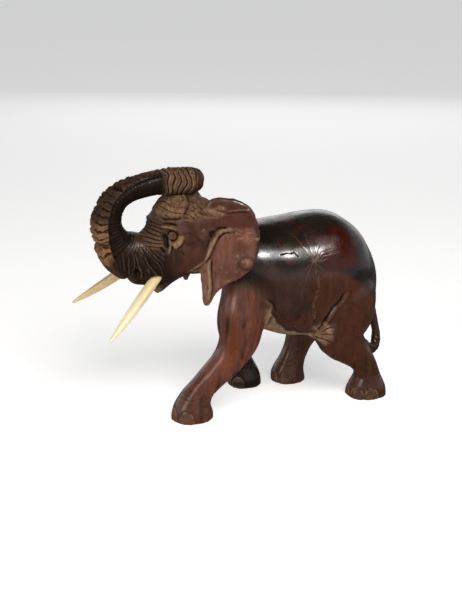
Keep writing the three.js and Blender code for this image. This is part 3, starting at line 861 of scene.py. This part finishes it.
def carve_feet(c):
    x, y, z = c.p.T
    for name, bearings in FEET:
        leg = fall(c.distance[name], 1.5, 1.5)
        where = leg * fall(z, 24, 6)
        low = (c.distance[name] < 1) & (z < 2)
        middle = (c.p[low].min(0) + c.p[low].max(0)) / 2
        angle = np.degrees(np.arctan2(-(y - middle[1]), -(x - middle[0])))
        for bearing in bearings:
            turn = (angle - bearing + 180) % 360 - 180
            across = np.radians(turn) * FOOT_RADIUS
            nail = np.hypot(across / 6.2, (z - 2.2) / 8.0)
            c.push += 0.45 * where * fall(nail, 1, 0.5)
            c.push -= 0.25 * where * bell(nail - 1.1, 0.1)
            worn = smooth(c.noise(4, 93) * 1.5 + 0.6)
            # pale nail edge: worn wood, with a painted highlight along its rim
            lit = np.maximum(0.24 * fall(nail, 1, 0.3), 0.7 * bell(nail - 0.95, 0.09))
            c.mark("pale", where * worn * lit)
            c.mark("dark", 0.25 * where * bell(nail - 1.12, 0.09))
            c.mark("rough", where * fall(nail, 1, 0.2))
        for height in ANKLE_CREASES:
            c.push -= 0.35 * leg * bell(z - height - 0.8 * c.noise(7, 91), 0.7)


def carve_tail(c):
    x, y, z = c.p.T
    where = c.on_body * fall(c.distance["tail"], 1.6, 1.2)
    tuft = where * fall(z, 52, 8)
    hair = rise(comb(y * 0.55 + z * 0.06 + 0.35 * c.noise(5, 95)), 0.35, 0.5)
    c.push -= 0.9 * tuft * hair
    c.mark("dark", 0.8 * tuft * hair)
    c.push += 0.3 * where * c.noise(4, 97)
    c.mark("dark", 0.45 * where)


def carve_hide(c):
    """The slow unevenness of a hand-rubbed surface, and tool facets on the head."""
    c.push += 0.35 * c.on_body * c.layered_noise(17, 101)
    c.push += 0.22 * c.on_head * c.layered_noise(5, 103)
    x, y, z = c.p.T
    swell = np.hypot((x - 46) / 15, (z - 133) / 19)
    c.push += 1.5 * c.on_torso * bell(swell, 1.0) * smooth(np.abs(y) / 12)
    for name in LEG_NODES:
        leg = c.on_body * fall(c.distance[name], 2, 2) * window(z, 20, 100, 10)
        c.push += 0.25 * leg * layered_noise(c.p * [0.12, 0.12, 0.03], 107)


# ---------------------------------------------------------------- the finished skin
def build_skin():
    fields = {name: distance_field(name) for name, _ in BLENDS}
    fields["head"] = add_swelling(fields["head"], *TEMPLE_SWELLING)
    fields["right_ear"] = add_swelling(fields["right_ear"], *RIGHT_EAR_CORNER)
    solid = blended_solid(fields)
    sockets = [tusk_line("left_tusk"), tusk_line("right_tusk")]
    for line in sockets:
        drill(solid, line)
    skin = Skin(*skin_of(solid))
    smooth_facets(skin, fields)
    c = Carver(skin, fields)
    fine = (c.on_head > 0.3) | (c.on_ear > 0.5) | (c.p[:, 2] < 15) | (crack_distance(c) < 2.2) | fold_zone(c)
    fresh = skin.split(pick_quads(skin, fine))
    skin.points = skin.relax(skin.points, np.where(fresh, 0.5, 0.35), 2)
    c = Carver(skin, fields)
    fresh = skin.split(pick_quads(skin, crack_distance(c) < 1.3))
    skin.points = skin.relax(skin.points, np.where(fresh, 0.5, 0.0), 2)
    c = Carver(skin, fields)
    for carve in (carve_hide, carve_trunk, carve_cheeks, carve_face, carve_forehead, carve_jaw, carve_ears,
                  carve_cracks, carve_folds, carve_feet, carve_tail):
        carve(c)
    c.apply()
    open_sockets(skin, sockets)
    skin.points[skin.points[:, 2] < SOLE_SNAP, 2] = 0.0
    return skin, c


def pick_quads(skin, wanted):
    return wanted[skin.quads].any(1)


def fold_zone(c):
    x, y, z = c.p.T
    fan = np.hypot((x - 76) / 13, (z - 68) / 17) < 1
    crease = path_distance(x, z, GROIN_CREASE)[0] < 4
    return (np.abs(y) > 12) & (fan | crease) & (c.on_body > 0.5)


def smooth_facets(skin, fields):
    """Removes the CAD facets, then puts back the volume that this took."""
    p = skin.points
    distance = {name: sample(field, p) for name, field in fields.items()}
    thin = nearest(distance, EAR_NODES + ["tail", "lower_jaw"]) < 2.5
    head = nearest(distance, HEAD_NODES) < 3
    weight = np.where(thin, 0.12, np.where(head, 0.3, 0.5))
    floor = p[:, 2] < 1.2
    half = np.full(len(p), 0.5)
    weight = skin.relax(weight, half, 6)
    weight[floor] = 0.05
    before = p.copy()
    skin.points = skin.relax(p, weight, 44)
    normal = skin.normals()
    lost = np.einsum("ij,ij->i", before - skin.points, normal)
    lost = skin.relax(lost, half, 40)
    skin.points = skin.points + normal * lost[:, None]
    skin.points[floor, 2] = before[floor, 2]


def open_sockets(skin, lines):
    """Moves points that carving has pushed into a socket back to its wall."""
    for line in lines:
        along, off, radius = around_line(skin.points, line)
        inside = (radius < SOCKET_RADIUS) & (along > -SOCKET_BACK / 2) & (along < DRILL_LENGTH - 2)
        scale = np.where(inside, SOCKET_RADIUS / np.maximum(radius, 0.1) - 1, 0.0)
        skin.points = skin.points + off * scale[:, None]


# ---------------------------------------------------------------- broad colours of the wood
BLACK_WOOD = np.array([0.0085, 0.0050, 0.0034])
BACK_BROWN = np.array([0.0165, 0.0105, 0.0072])
DARK_RED = np.array([0.038, 0.0036, 0.0016])
CHESTNUT = np.array([0.054, 0.0164, 0.0070])
FLANK_BROWN = np.array([0.035, 0.0150, 0.0100])
SHOULDER = np.array([0.150, 0.048, 0.0290])
ORANGE = np.array([0.120, 0.031, 0.0115])
UMBER = np.array([0.044, 0.0175, 0.0082])
RIM_TAN = np.array([0.190, 0.074, 0.028])
RIM_DARK = np.array([0.026, 0.0125, 0.0095])
EAR_BROWN = np.array([0.118, 0.042, 0.025])
EAR_RED = np.array([0.064, 0.0165, 0.0085])
TEMPLE_RED = np.array([0.052, 0.0165, 0.0075])


# Lower edge of the blackened back, as (x, z)
BACK_EDGE = [(-10, 150), (20, 134), (40, 122), (60, 124), (78, 124), (95, 117), (111, 104), (125, 92)]


def blend(colours, other, amount):
    return colours + (other - colours) * np.clip(amount, 0, 1)[:, None]


def wood_tones(c):
    x, y, z = c.p.T
    slow = c.layered_noise(26, 111)
    cloud = c.layered_noise(11, 113)
    streak = layered_noise(c.p * [0.28, 0.28, 0.035], 117)
    tone = np.tile(CHESTNUT, (len(x), 1))
    tone = blend(tone, FLANK_BROWN, smooth((72 - x + 6 * slow) / 14) * rise(z, 76, 16))
    high = smooth((z - profile(x, BACK_EDGE) + 5 * slow) / 9 + 0.5)
    tone = blend(tone, BLACK_WOOD, high)
    tone = blend(tone, BACK_BROWN, 0.8 * high * smooth((z - 140 + 5 * cloud) / 12) * rise(x, 30, 20))
    # painted shade: the front of the torso behind and under the ear is darkened
    shade_behind_ear = rise(z, 96, 20) * smooth((34 - x + 5 * slow) / 16)
    tone = blend(tone, BLACK_WOOD, 0.85 * shade_behind_ear * c.on_torso)
    patch = smooth((1.2 - np.hypot((x - 88) / 17, (z - 136) / 17) + 0.3 * cloud) / 0.5)
    tone = blend(tone, DARK_RED, patch * high)
    tone = blend(tone, DARK_RED * 1.4, 0.6 * high * smooth(cloud * 2 - 0.4))
    fore = c.on_body * fall(x, 30, 14) * fall(z, 122, 18)
    tone = blend(tone, SHOULDER, fore * (0.62 + 0.5 * streak + 0.2 * cloud))
    tone = blend(tone, ORANGE, fore * smooth(streak * 1.8 - 0.25) * window(z, 30, 96, 20))
    glow = np.hypot((x - 0.5 * (z - 60) + 3) / 8, (z - 58) / 17)
    tone = blend(tone, ORANGE, 0.85 * fore * smooth((1.15 - glow + 0.5 * streak) / 0.7) * smooth(-y / 8))
    spot = np.hypot(x - 6.7, (z - 83.5) / 1.3) + 2 * c.noise(3, 119)
    tone = blend(tone, BLACK_WOOD * 2, 0.75 * fall(spot, 4, 3) * smooth(-y / 8) * c.on_body)
    veins = smooth(-streak * 1.9 - 0.35) * fall(z, 110, 20)
    tone = blend(tone, BLACK_WOOD * 1.6, 0.6 * c.on_body * veins)
    far = rise(y, 6, 8) * fall(z, 95, 10) * c.on_body
    tone = blend(tone, UMBER, 0.45 * fall(z, 34, 20) * c.on_body)
    tone = blend(tone, UMBER * 1.75, 0.9 * far * rise(x, 50, 8))
    # painted shade: the far foreleg under the belly is darkened, most towards the top
    tone = blend(tone, BLACK_WOOD * 1.3, 0.88 * far * fall(x, 46, 8) * fall(z, 72, 40))
    tone = blend(tone, UMBER * (1 + 0.35 * cloud)[:, None], c.on_head)
    tone = blend(tone, EAR_BROWN * (1 + 0.25 * cloud)[:, None], c.on_ear)
    tone = blend(tone, TEMPLE_RED, c.marks["red"] * np.maximum(c.on_head, c.on_ear * fall(x, -8, 8)))
    tone = blend(tone, EAR_RED, c.on_ear * rise(z, 162, 3) * rise(x, -14, 8))
    v = z + 11 * (y > 0)
    rim = np.hypot((x + 4) / np.where(y > 0, 17, 23), (v - 150) / 36) + 0.04 * cloud
    border = rise(rim, 0.78, 0.12) * rise(x, -12, 8) * rise(v, 128, 14)
    # painted shade along the ear's rear rim, where it turns away from the side
    tone = blend(tone, RIM_DARK, 0.85 * c.on_ear * border)
    tone = blend(tone, RIM_DARK, 0.7 * c.on_ear * rise(v, 177, 3))
    return blend(tone, RIM_TAN * (1 + 0.3 * cloud)[:, None], 0.9 * c.rim)


# ---------------------------------------------------------------- meshes
def add_object(name, data):
    thing = bpy.data.objects.new(name, data)
    bpy.context.scene.collection.objects.link(thing)
    return thing


def make_mesh(name, skin, quads, polygons, normals, layers, tone):
    used = np.unique(np.concatenate([quads.ravel()] + [np.array(p) for p in polygons]))
    lookup = np.full(len(skin.points), -1)
    lookup[used] = np.arange(len(used))
    loops = np.concatenate([lookup[quads].ravel()] + [lookup[np.array(p)] for p in polygons])
    sizes = np.concatenate([np.full(len(quads), 4), np.array([len(p) for p in polygons], int)])
    mesh = bpy.data.meshes.new(name)
    mesh.vertices.add(len(used))
    mesh.vertices.foreach_set("co", ((skin.points[used] + ORIGIN) * MM).astype(np.float32).ravel())
    mesh.loops.add(len(loops))
    mesh.loops.foreach_set("vertex_index", loops.astype(np.int32))
    mesh.polygons.add(len(sizes))
    mesh.polygons.foreach_set("loop_start", np.concatenate([[0], np.cumsum(sizes)[:-1]]).astype(np.int32))
    mesh.update(calc_edges=True)
    mesh.polygons.foreach_set("use_smooth", np.ones(len(sizes), bool))
    mesh.normals_split_custom_set_from_vertices(normals[used].astype(np.float32))
    for layer, values in layers.items():
        attribute = mesh.attributes.new(layer, "FLOAT", "POINT")
        attribute.data.foreach_set("value", values[used].astype(np.float32))
    colour = mesh.attributes.new("tone", "FLOAT_COLOR", "POINT")
    rgba = np.concatenate([tone[used], np.ones((len(used), 1))], axis=1)
    colour.data.foreach_set("color", rgba.astype(np.float32).ravel())
    return add_object(name, mesh)


def wood_layers(skin, c):
    """Marks for the material, with wear on outward corners and painted shade in inward ones."""
    normals = skin.normals()
    bend = np.einsum("ij,ij->i", skin.neighbour_mean(skin.points) - skin.points, normals)
    spacing = np.linalg.norm(skin.points[skin.edges[:, 0]] - skin.points[skin.edges[:, 1]], axis=1)
    total = sum(np.bincount(ends, weights=spacing, minlength=len(bend)) for ends in skin.edges.T)
    size = total / skin.valence
    curve = skin.relax(bend / size ** 2, np.full(len(bend), 0.5), 2)
    layers = dict(c.marks)
    layers["wear"] = np.clip(-curve * 5 - 0.25, 0, 1)
    # painted shade: inward bends of the surface are darkened as if in shadow
    layers["hollow_shade"] = np.clip(curve * 6 - 0.15, 0, 1)
    return normals, layers


class Nodes:
    """Short way to write the node tree of a material or a world, around its ready-made shader."""

    def __init__(self, owner, shader="Principled BSDF"):
        owner.use_nodes = True
        self.owner = owner
        self.tree = owner.node_tree
        self.shader = self.tree.nodes[shader]

    def add(self, kind, inputs=None, **settings):
        node = self.tree.nodes.new(kind)
        for key, value in settings.items():
            setattr(node, key, value)
        for key, value in (inputs or {}).items():
            self.put(node, key, value)
        return node

    def put(self, node, key, value):
        socket = node.inputs[key]
        if isinstance(value, bpy.types.NodeSocket):
            self.tree.links.new(value, socket)
        else:
            socket.default_value = value

    def shade(self, inputs):
        for key, value in inputs.items():
            self.put(self.shader, key, value)

    def attribute(self, name, output="Fac"):
        return self.add("ShaderNodeAttribute", attribute_name=name).outputs[output]

    def math(self, operation, a, b=0.0, clamp=False):
        return self.add("ShaderNodeMath", {0: a, 1: b}, operation=operation, use_clamp=clamp).outputs[0]

    def times(self, a, b, clamp=False):
        return self.math("MULTIPLY", a, b, clamp)

    def plus(self, a, b, clamp=False):
        return self.math("ADD", a, b, clamp)

    def place(self, scale):
        coordinates = self.add("ShaderNodeTexCoord").outputs["Object"]
        return self.add("ShaderNodeMapping", {"Vector": coordinates, "Scale": scale}).outputs[0]

    def noise(self, scale, detail=4.0, roughness=0.55, distortion=0.0):
        inputs = {"Vector": self.place(scale), "Scale": 1.0, "Detail": detail, "Roughness": roughness,
                  "Distortion": distortion}
        return self.add("ShaderNodeTexNoise", inputs).outputs["Fac"]

    def ramp(self, value, start, end, low=0.0, high=1.0, kind="LINEAR"):
        inputs = {"Value": value, "From Min": start, "From Max": end, "To Min": low, "To Max": high}
        return self.add("ShaderNodeMapRange", inputs, interpolation_type=kind).outputs["Result"]

    def mix(self, amount, a, b):
        node = self.add("ShaderNodeMix", data_type="RGBA")
        node.clamp_factor = True
        for index, value in ((0, amount), (6, a), (7, b)):
            self.put(node, index, value)
        return node.outputs[2]

    def scaled(self, colour, amount):
        return self.add("ShaderNodeVectorMath", {0: colour, "Scale": amount}, operation="SCALE").outputs[0]

    def bump(self, height, strength, distance):
        inputs = {"Height": height, "Strength": strength, "Distance": distance}
        return self.add("ShaderNodeBump", inputs).outputs[0]


PALE_WOOD = (0.265, 0.150, 0.076, 1)
DEEP_WOOD = (0.006, 0.003, 0.002, 1)
SCRATCH_WOOD = (0.26, 0.125, 0.085, 1)
RED_WOOD = (0.075, 0.020, 0.010, 1)
BONE_CRACK = (0.30, 0.17, 0.07, 1)


def wood_material(name, roughness, coat, shine, grain, pore):
    """Wood whose broad colour is the mesh's tone, changed where the carving left its marks."""
    n = Nodes(bpy.data.materials.new(name))
    streaks = n.noise((260, 260, 24), 6, 0.62, 0.4)
    broad = n.ramp(n.noise((70, 70, 70), 3, 0.5), 0.3, 0.7, 0.82, 1.2)
    fine = n.ramp(n.noise((1500, 1500, 140), 3, 0.6), 0.3, 0.7, 1 - grain * 0.5, 1 + grain * 0.5)
    value = n.times(n.times(n.ramp(streaks, 0.3, 0.72, 1 - grain, 1 + grain), broad), fine)
    colour = n.scaled(n.attribute("tone", "Color"), value)
    red = n.times(n.attribute("red"), n.ramp(streaks, 0.35, 0.65, 0.35, 0.9))
    colour = n.mix(red, colour, RED_WOOD)
    worn = n.times(n.attribute("wear"), n.ramp(n.noise((420, 420, 420), 4), 0.38, 0.62))
    colour = n.mix(n.times(worn, 0.42), colour, PALE_WOOD)
    # bare cut wood, which is pale, mottled and unpolished
    mottle = n.ramp(n.noise((520, 520, 260), 5, 0.65, 0.6), 0.3, 0.7, 0.45, 1.25)
    broken = n.ramp(n.noise((300, 300, 90), 5, 0.65), 0.3, 0.62, 0.5, 1.1)
    pale = n.times(n.attribute("pale"), broken, clamp=True)
    colour = n.mix(pale, colour, n.scaled(PALE_WOOD[:3], mottle))
    colour = n.mix(n.times(n.attribute("scratch"), 0.6), colour, SCRATCH_WOOD)
    # the carving's dark marks, partly stain and polish gathered in the cuts and partly painted shade, and
    # painted shade in every inward hollow
    deep = n.math("MAXIMUM", n.times(n.attribute("dark"), 0.9), n.attribute("hollow_shade"))
    colour = n.mix(deep, colour, DEEP_WOOD)
    specks = n.ramp(n.noise((900, 900, 900), 2, 0.5), 0.72, 0.78, 0, 0.5)
    colour = n.mix(n.times(specks, pore), colour, SCRATCH_WOOD)
    pores = n.ramp(n.noise((1900, 1900, 170), 2, 0.5), 0.64, 0.72, 0, 0.75)
    colour = n.mix(n.times(pores, pore), colour, DEEP_WOOD)
    rubbed = n.ramp(n.noise((95, 95, 60), 5, 0.6), 0.3, 0.7, -0.07, 0.14)
    rough = n.attribute("rough")
    dull = n.plus(n.plus(rubbed, roughness), n.times(rough, 0.34))
    cover = n.math("SUBTRACT", 1.0, n.math("MAXIMUM", rough, n.attribute("pale")), clamp=True)
    height = n.plus(n.times(streaks, 0.5), n.times(pores, -0.5 * pore))
    height = n.plus(height, n.times(n.times(rough, mottle), 0.8))
    n.shade({
        "Base Color": colour,
        "Roughness": n.plus(dull, n.times(pale, 0.22), clamp=True),
        "Coat Weight": n.times(cover, coat),
        "Coat Roughness": n.ramp(n.noise((240, 240, 240), 4), 0.3, 0.7, 0.05, 0.2),
        "Specular IOR Level": n.ramp(deep, 0, 1, shine, 0.08),
        "Normal": n.bump(height, 0.35, 0.0004),
    })
    return n.owner


def bone_material(name, cream, root):
    """Cream bone, browner towards the root, with stains and dark drying cracks."""
    n = Nodes(bpy.data.materials.new(name))
    streak = n.attribute("streak")
    lines = n.ramp(n.noise((900, 900, 900), 3, 0.6), 0.3, 0.7, 0.93, 1.05)
    stain = n.ramp(n.noise((160, 160, 160), 5, 0.6), 0.35, 0.68, 0, 1)
    colour = n.mix(n.ramp(n.attribute("along"), 0.0, 0.55, 0.62, 0.02), cream, root)
    colour = n.mix(n.times(stain, 0.4), colour, root)
    colour = n.scaled(colour, n.times(n.ramp(streak, 0.3, 0.7, 0.9, 1.06), lines))
    n.shade({
        "Base Color": n.mix(n.times(n.attribute("crack"), 0.75), colour, BONE_CRACK),
        "Roughness": n.ramp(stain, 0, 1, 0.3, 0.5),
        "Subsurface Weight": 0.12,
        "Subsurface Radius": (0.004, 0.0025, 0.0015),
        "Coat Weight": 0.25,
        "Coat Roughness": 0.2,
        "Normal": n.bump(streak, 0.25, 0.0003),
    })
    return n.owner


# ---------------------------------------------------------------- tusks
TUSK_RADIUS, TUSK_TIP, TUSK_FULLNESS = 4.2, 0.9, 2.6
PEG_LENGTH, PEG_RADIUS = 12.0, TUSK_RADIUS - 0.1
# Share of a tusk's length over which its point is rounded
TIP_SHARE = 0.025
AROUND, ALONG, PEG_RINGS = 56, 120, 9
# Drying cracks as (path, width, strength), drawn in (angle, CRACK_SPREAD times the share along the tusk)
CRACK_SPREAD = 9
TUSK_CRACKS = [
    ([(4.3, 0.4), (4.45, 2.6), (4.3, 4.4), (4.5, 6.1)], 0.09, 1.0),
    ([(3.1, 0.2), (3.3, 1.6), (3.1, 3.2)], 0.08, 0.8),
]


def tusk_spine(name):
    """Centre line of a tusk with its radius and share along the tusk: a straight peg, then a curve."""
    start, out = tusk_line(name)
    points, _ = node_mesh(name)
    tip = points[(points @ out).argmax()]
    root = start + out * PEG_LENGTH
    control = root + out * np.linalg.norm(tip - root) / 2
    peg = np.linspace(0, 1, PEG_RINGS, endpoint=False)[:, None]
    t = np.linspace(0, 1, ALONG)[:, None]
    curve = (1 - t) ** 2 * root + 2 * t * (1 - t) * control + t ** 2 * tip
    t = t[:, 0]
    taper = TUSK_TIP + (TUSK_RADIUS - TUSK_TIP) * (1 - t ** TUSK_FULLNESS)
    rounding = np.sqrt(1 - np.clip((t - 1 + TIP_SHARE) / TIP_SHARE, 0, 1) ** 2)
    line = np.concatenate([start + peg * (root - start), curve])
    radius = np.concatenate([np.full(PEG_RINGS, PEG_RADIUS), taper * rounding])
    side = np.cross(out, [0, 0, 1.0])
    return line, radius, np.concatenate([np.zeros(PEG_RINGS), t]), side / np.linalg.norm(side)


def tube_faces(count):
    """Quads between `count` rings of AROUND points each, and the two end caps."""
    i, j = np.meshgrid(np.arange(count - 1), np.arange(AROUND), indexing="ij")
    a, b = i * AROUND + j, i * AROUND + (j + 1) % AROUND
    quads = np.stack([a, b, b + AROUND, a + AROUND], -1).reshape(-1, 4)
    return quads, [list(range(AROUND))[::-1], list(range((count - 1) * AROUND, count * AROUND))]


def build_tusk(name, seed):
    line, radius, share, side = tusk_spine(name)
    way = np.gradient(line, axis=0)
    way /= np.linalg.norm(way, axis=1)[:, None]
    up = np.repeat(np.cross(side, way), AROUND, 0)
    middle = np.repeat(line, AROUND, 0)
    along = np.repeat(share, AROUND)
    angle = np.tile(np.linspace(0, 2 * math.pi, AROUND, endpoint=False), len(line))
    outward = np.cos(angle)[:, None] * side + np.sin(angle)[:, None] * up
    flat = np.stack([np.cos(angle) * 2.2, np.sin(angle) * 2.2, along * 5], 1)
    wobble = 0.16 * layered_noise(flat * [1, 1, 0.8], seed) * smooth(along * 12)
    facet = 0.10 * np.cos(angle * 7 + along * 2) * smooth(along * 9)
    crack = np.zeros(len(angle))
    for path, width, strength in TUSK_CRACKS:
        distance, _ = path_distance(angle, along * CRACK_SPREAD, path)
        crack = np.maximum(crack, strength * bell(distance, width))
    away = np.repeat(radius, AROUND) * (1 + 0.35 * (wobble + facet) / TUSK_RADIUS)
    away = np.maximum(away - 0.25 * crack * smooth(along * 20), 0.02)
    body = middle + outward * away[:, None]
    quads, caps = tube_faces(len(line))
    skin = Skin(body, quads, caps)
    if np.einsum("ij,ij->", skin.normals(), body - middle) < 0:
        skin = Skin(body, quads[:, ::-1], [cap[::-1] for cap in caps])
    streak = 0.5 + 0.5 * layered_noise(flat * [3.2, 3.2, 0.5], seed + 3)
    layers = {"along": along, "streak": streak, "crack": crack}
    tone = np.ones((len(body), 3))
    return make_mesh(name + "_bone", skin, skin.quads, skin.polygons, skin.normals(), layers, tone)


# ---------------------------------------------------------------- the object
# Each wooden piece as (name, the nodes it replaces, slot, name of its material, how that looks), where
# the look is roughness, coat weight, shine, strength of the grain and strength of the pores
WOODS = [
    ("carved_body", BODY_NODES, "polished_wood", "lacquered_wood", (0.23, 0.16, 0.34, 0.24, 0.5)),
    ("carved_head", HEAD_NODES, "carved_wood", "cut_wood", (0.42, 0.06, 0.25, 0.4, 0.8)),
    ("carved_ears", EAR_NODES, "ear_wood", "waxed_wood", (0.34, 0.14, 0.35, 0.28, 0.9)),
]
# Each tusk as (name, seed, colour, colour of its root); the far right tusk's colours are a darker copy of the
# left one's, as painted shade
TUSKS = [
    ("left_tusk", 131, (0.93, 0.85, 0.57, 1), (0.70, 0.50, 0.22, 1)),
    ("right_tusk", 137, (0.72, 0.54, 0.28, 1), (0.50, 0.28, 0.10, 1)),
]


def finish_piece(thing, material, body, nodes):
    thing.data.materials.append(material)
    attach(thing, body)
    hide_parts(*nodes)


def add_wood():
    skin, c = build_skin()
    normals, layers = wood_layers(skin, c)
    tone = wood_tones(c)
    kind = np.where(c.on_ear > 0.5, 2, np.where(c.on_head > 0.5, 1, 0))
    quad_kind = np.max(kind[skin.quads], axis=1)
    polygon_kind = [max(kind[list(p)]) for p in skin.polygons]
    for number, (name, nodes, slot, material, look) in enumerate(WOODS):
        quads = skin.quads[quad_kind == number]
        polygons = [p for p, k in zip(skin.polygons, polygon_kind) if k == number]
        thing = make_mesh(name, skin, quads, polygons, normals, layers, tone)
        finish_piece(thing, wood_material(material, *look), "carving", nodes)


def add_tusks():
    for name, seed, cream, root in TUSKS:
        thing = build_tusk(name, seed)
        finish_piece(thing, bone_material(name + "_bone", cream, root), name + "_rod", [name])


# ---------------------------------------------------------------- floor, light and camera
AIM = (ORIGIN + [0, -28.5, 100]) * MM
VIEW_AZIMUTH, VIEW_ELEVATION, VIEW_DISTANCE = math.radians(-17.5), math.radians(20), 0.85
LENS, SENSOR = 63.75, 36.0
FLOOR_HALF = 25.0
WARM_WHITE = (1.0, 0.98, 0.95)


def add_floor():
    mesh = bpy.data.meshes.new("floor")
    corners = [(-FLOOR_HALF, -FLOOR_HALF, 0), (FLOOR_HALF, -FLOOR_HALF, 0), (FLOOR_HALF, FLOOR_HALF, 0),
               (-FLOOR_HALF, FLOOR_HALF, 0)]
    mesh.from_pydata(corners, [], [(0, 1, 2, 3)])
    floor = add_object("floor", mesh)
    n = Nodes(bpy.data.materials.new("pale_floor"))
    n.shade({
        "Base Color": (0.87, 0.87, 0.87, 1),
        "Roughness": 0.8,
        "Specular IOR Level": 0.1,
        "Emission Color": (1, 1, 1, 1),
        "Emission Strength": 0.50,
    })
    mesh.materials.append(n.owner)
    # the dark lacquer would show a milky reflection of so large a white floor
    floor.visible_glossy = False


def add_light(name, way, distance, width, height, power, colour=(1, 1, 1), diffuse=True, glossy=True):
    light = bpy.data.lights.new(name, "AREA")
    light.shape = "RECTANGLE"
    light.size, light.size_y = width, height
    light.energy = power
    light.color = colour
    lamp = add_object(name, light)
    way = Vector(way).normalized()
    lamp.location = Vector(AIM) + way * distance
    lamp.rotation_mode = "QUATERNION"
    lamp.rotation_quaternion = way.to_track_quat("Z", "Y")
    lamp.visible_diffuse, lamp.visible_glossy = diffuse, glossy


def add_world():
    """Brighter behind the object; dark overhead and below the horizon, where the lacquer would show it."""
    world = bpy.data.worlds.new("studio")
    bpy.context.scene.world = world
    n = Nodes(world, "Background")
    way = n.add("ShaderNodeSeparateXYZ", {0: n.add("ShaderNodeTexCoord").outputs["Generated"]}).outputs
    strength = n.ramp(way["Y"], -0.3, 0.75, 0.62, 1.05, "SMOOTHSTEP")
    strength = n.times(strength, n.ramp(way["Z"], 0.1, 0.55, 1.0, 0.05))
    strength = n.times(strength, n.ramp(way["Z"], -0.14, -0.05, 0.1, 1.0))
    n.shade({"Strength": strength, "Color": (0.95, 0.97, 1.0, 1)})


def add_studio():
    add_floor()
    add_world()
    # one lamp in two parts: a broad one for soft shadows, and a small one for the lacquer's highlight
    add_light("softbox", (0.1, -0.643, 0.78), 1.1, 0.7, 0.7, 10.5, WARM_WHITE, glossy=False)
    add_light("window", (0.227, -0.643, 0.733), 1.04, 0.12, 0.18, 10.0, WARM_WHITE, diffuse=False)
    add_light("left_fill", (-0.9, -0.35, 0.35), 1.3, 0.6, 0.7, 5.0, (1.0, 0.97, 0.93))
    add_light("back_fill", (0.35, 0.9, 0.25), 1.6, 1.2, 0.5, 2.0)


def add_camera():
    camera = bpy.data.cameras.new("camera")
    camera.lens, camera.sensor_width = LENS, SENSOR
    camera.clip_start, camera.clip_end = 0.01, 50
    viewer = add_object("camera", camera)
    back = Vector((math.sin(VIEW_AZIMUTH) * math.cos(VIEW_ELEVATION),
                   -math.cos(VIEW_AZIMUTH) * math.cos(VIEW_ELEVATION), math.sin(VIEW_ELEVATION)))
    viewer.location = Vector(AIM) + back * VIEW_DISTANCE
    viewer.rotation_mode = "QUATERNION"
    viewer.rotation_quaternion = back.to_track_quat("Z", "Y")
    bpy.context.scene.camera = viewer


add_wood()
add_tusks()
add_studio()
add_camera()
bpy.context.scene.view_settings.view_transform = "Standard"

bpy.context.view_layer.update()
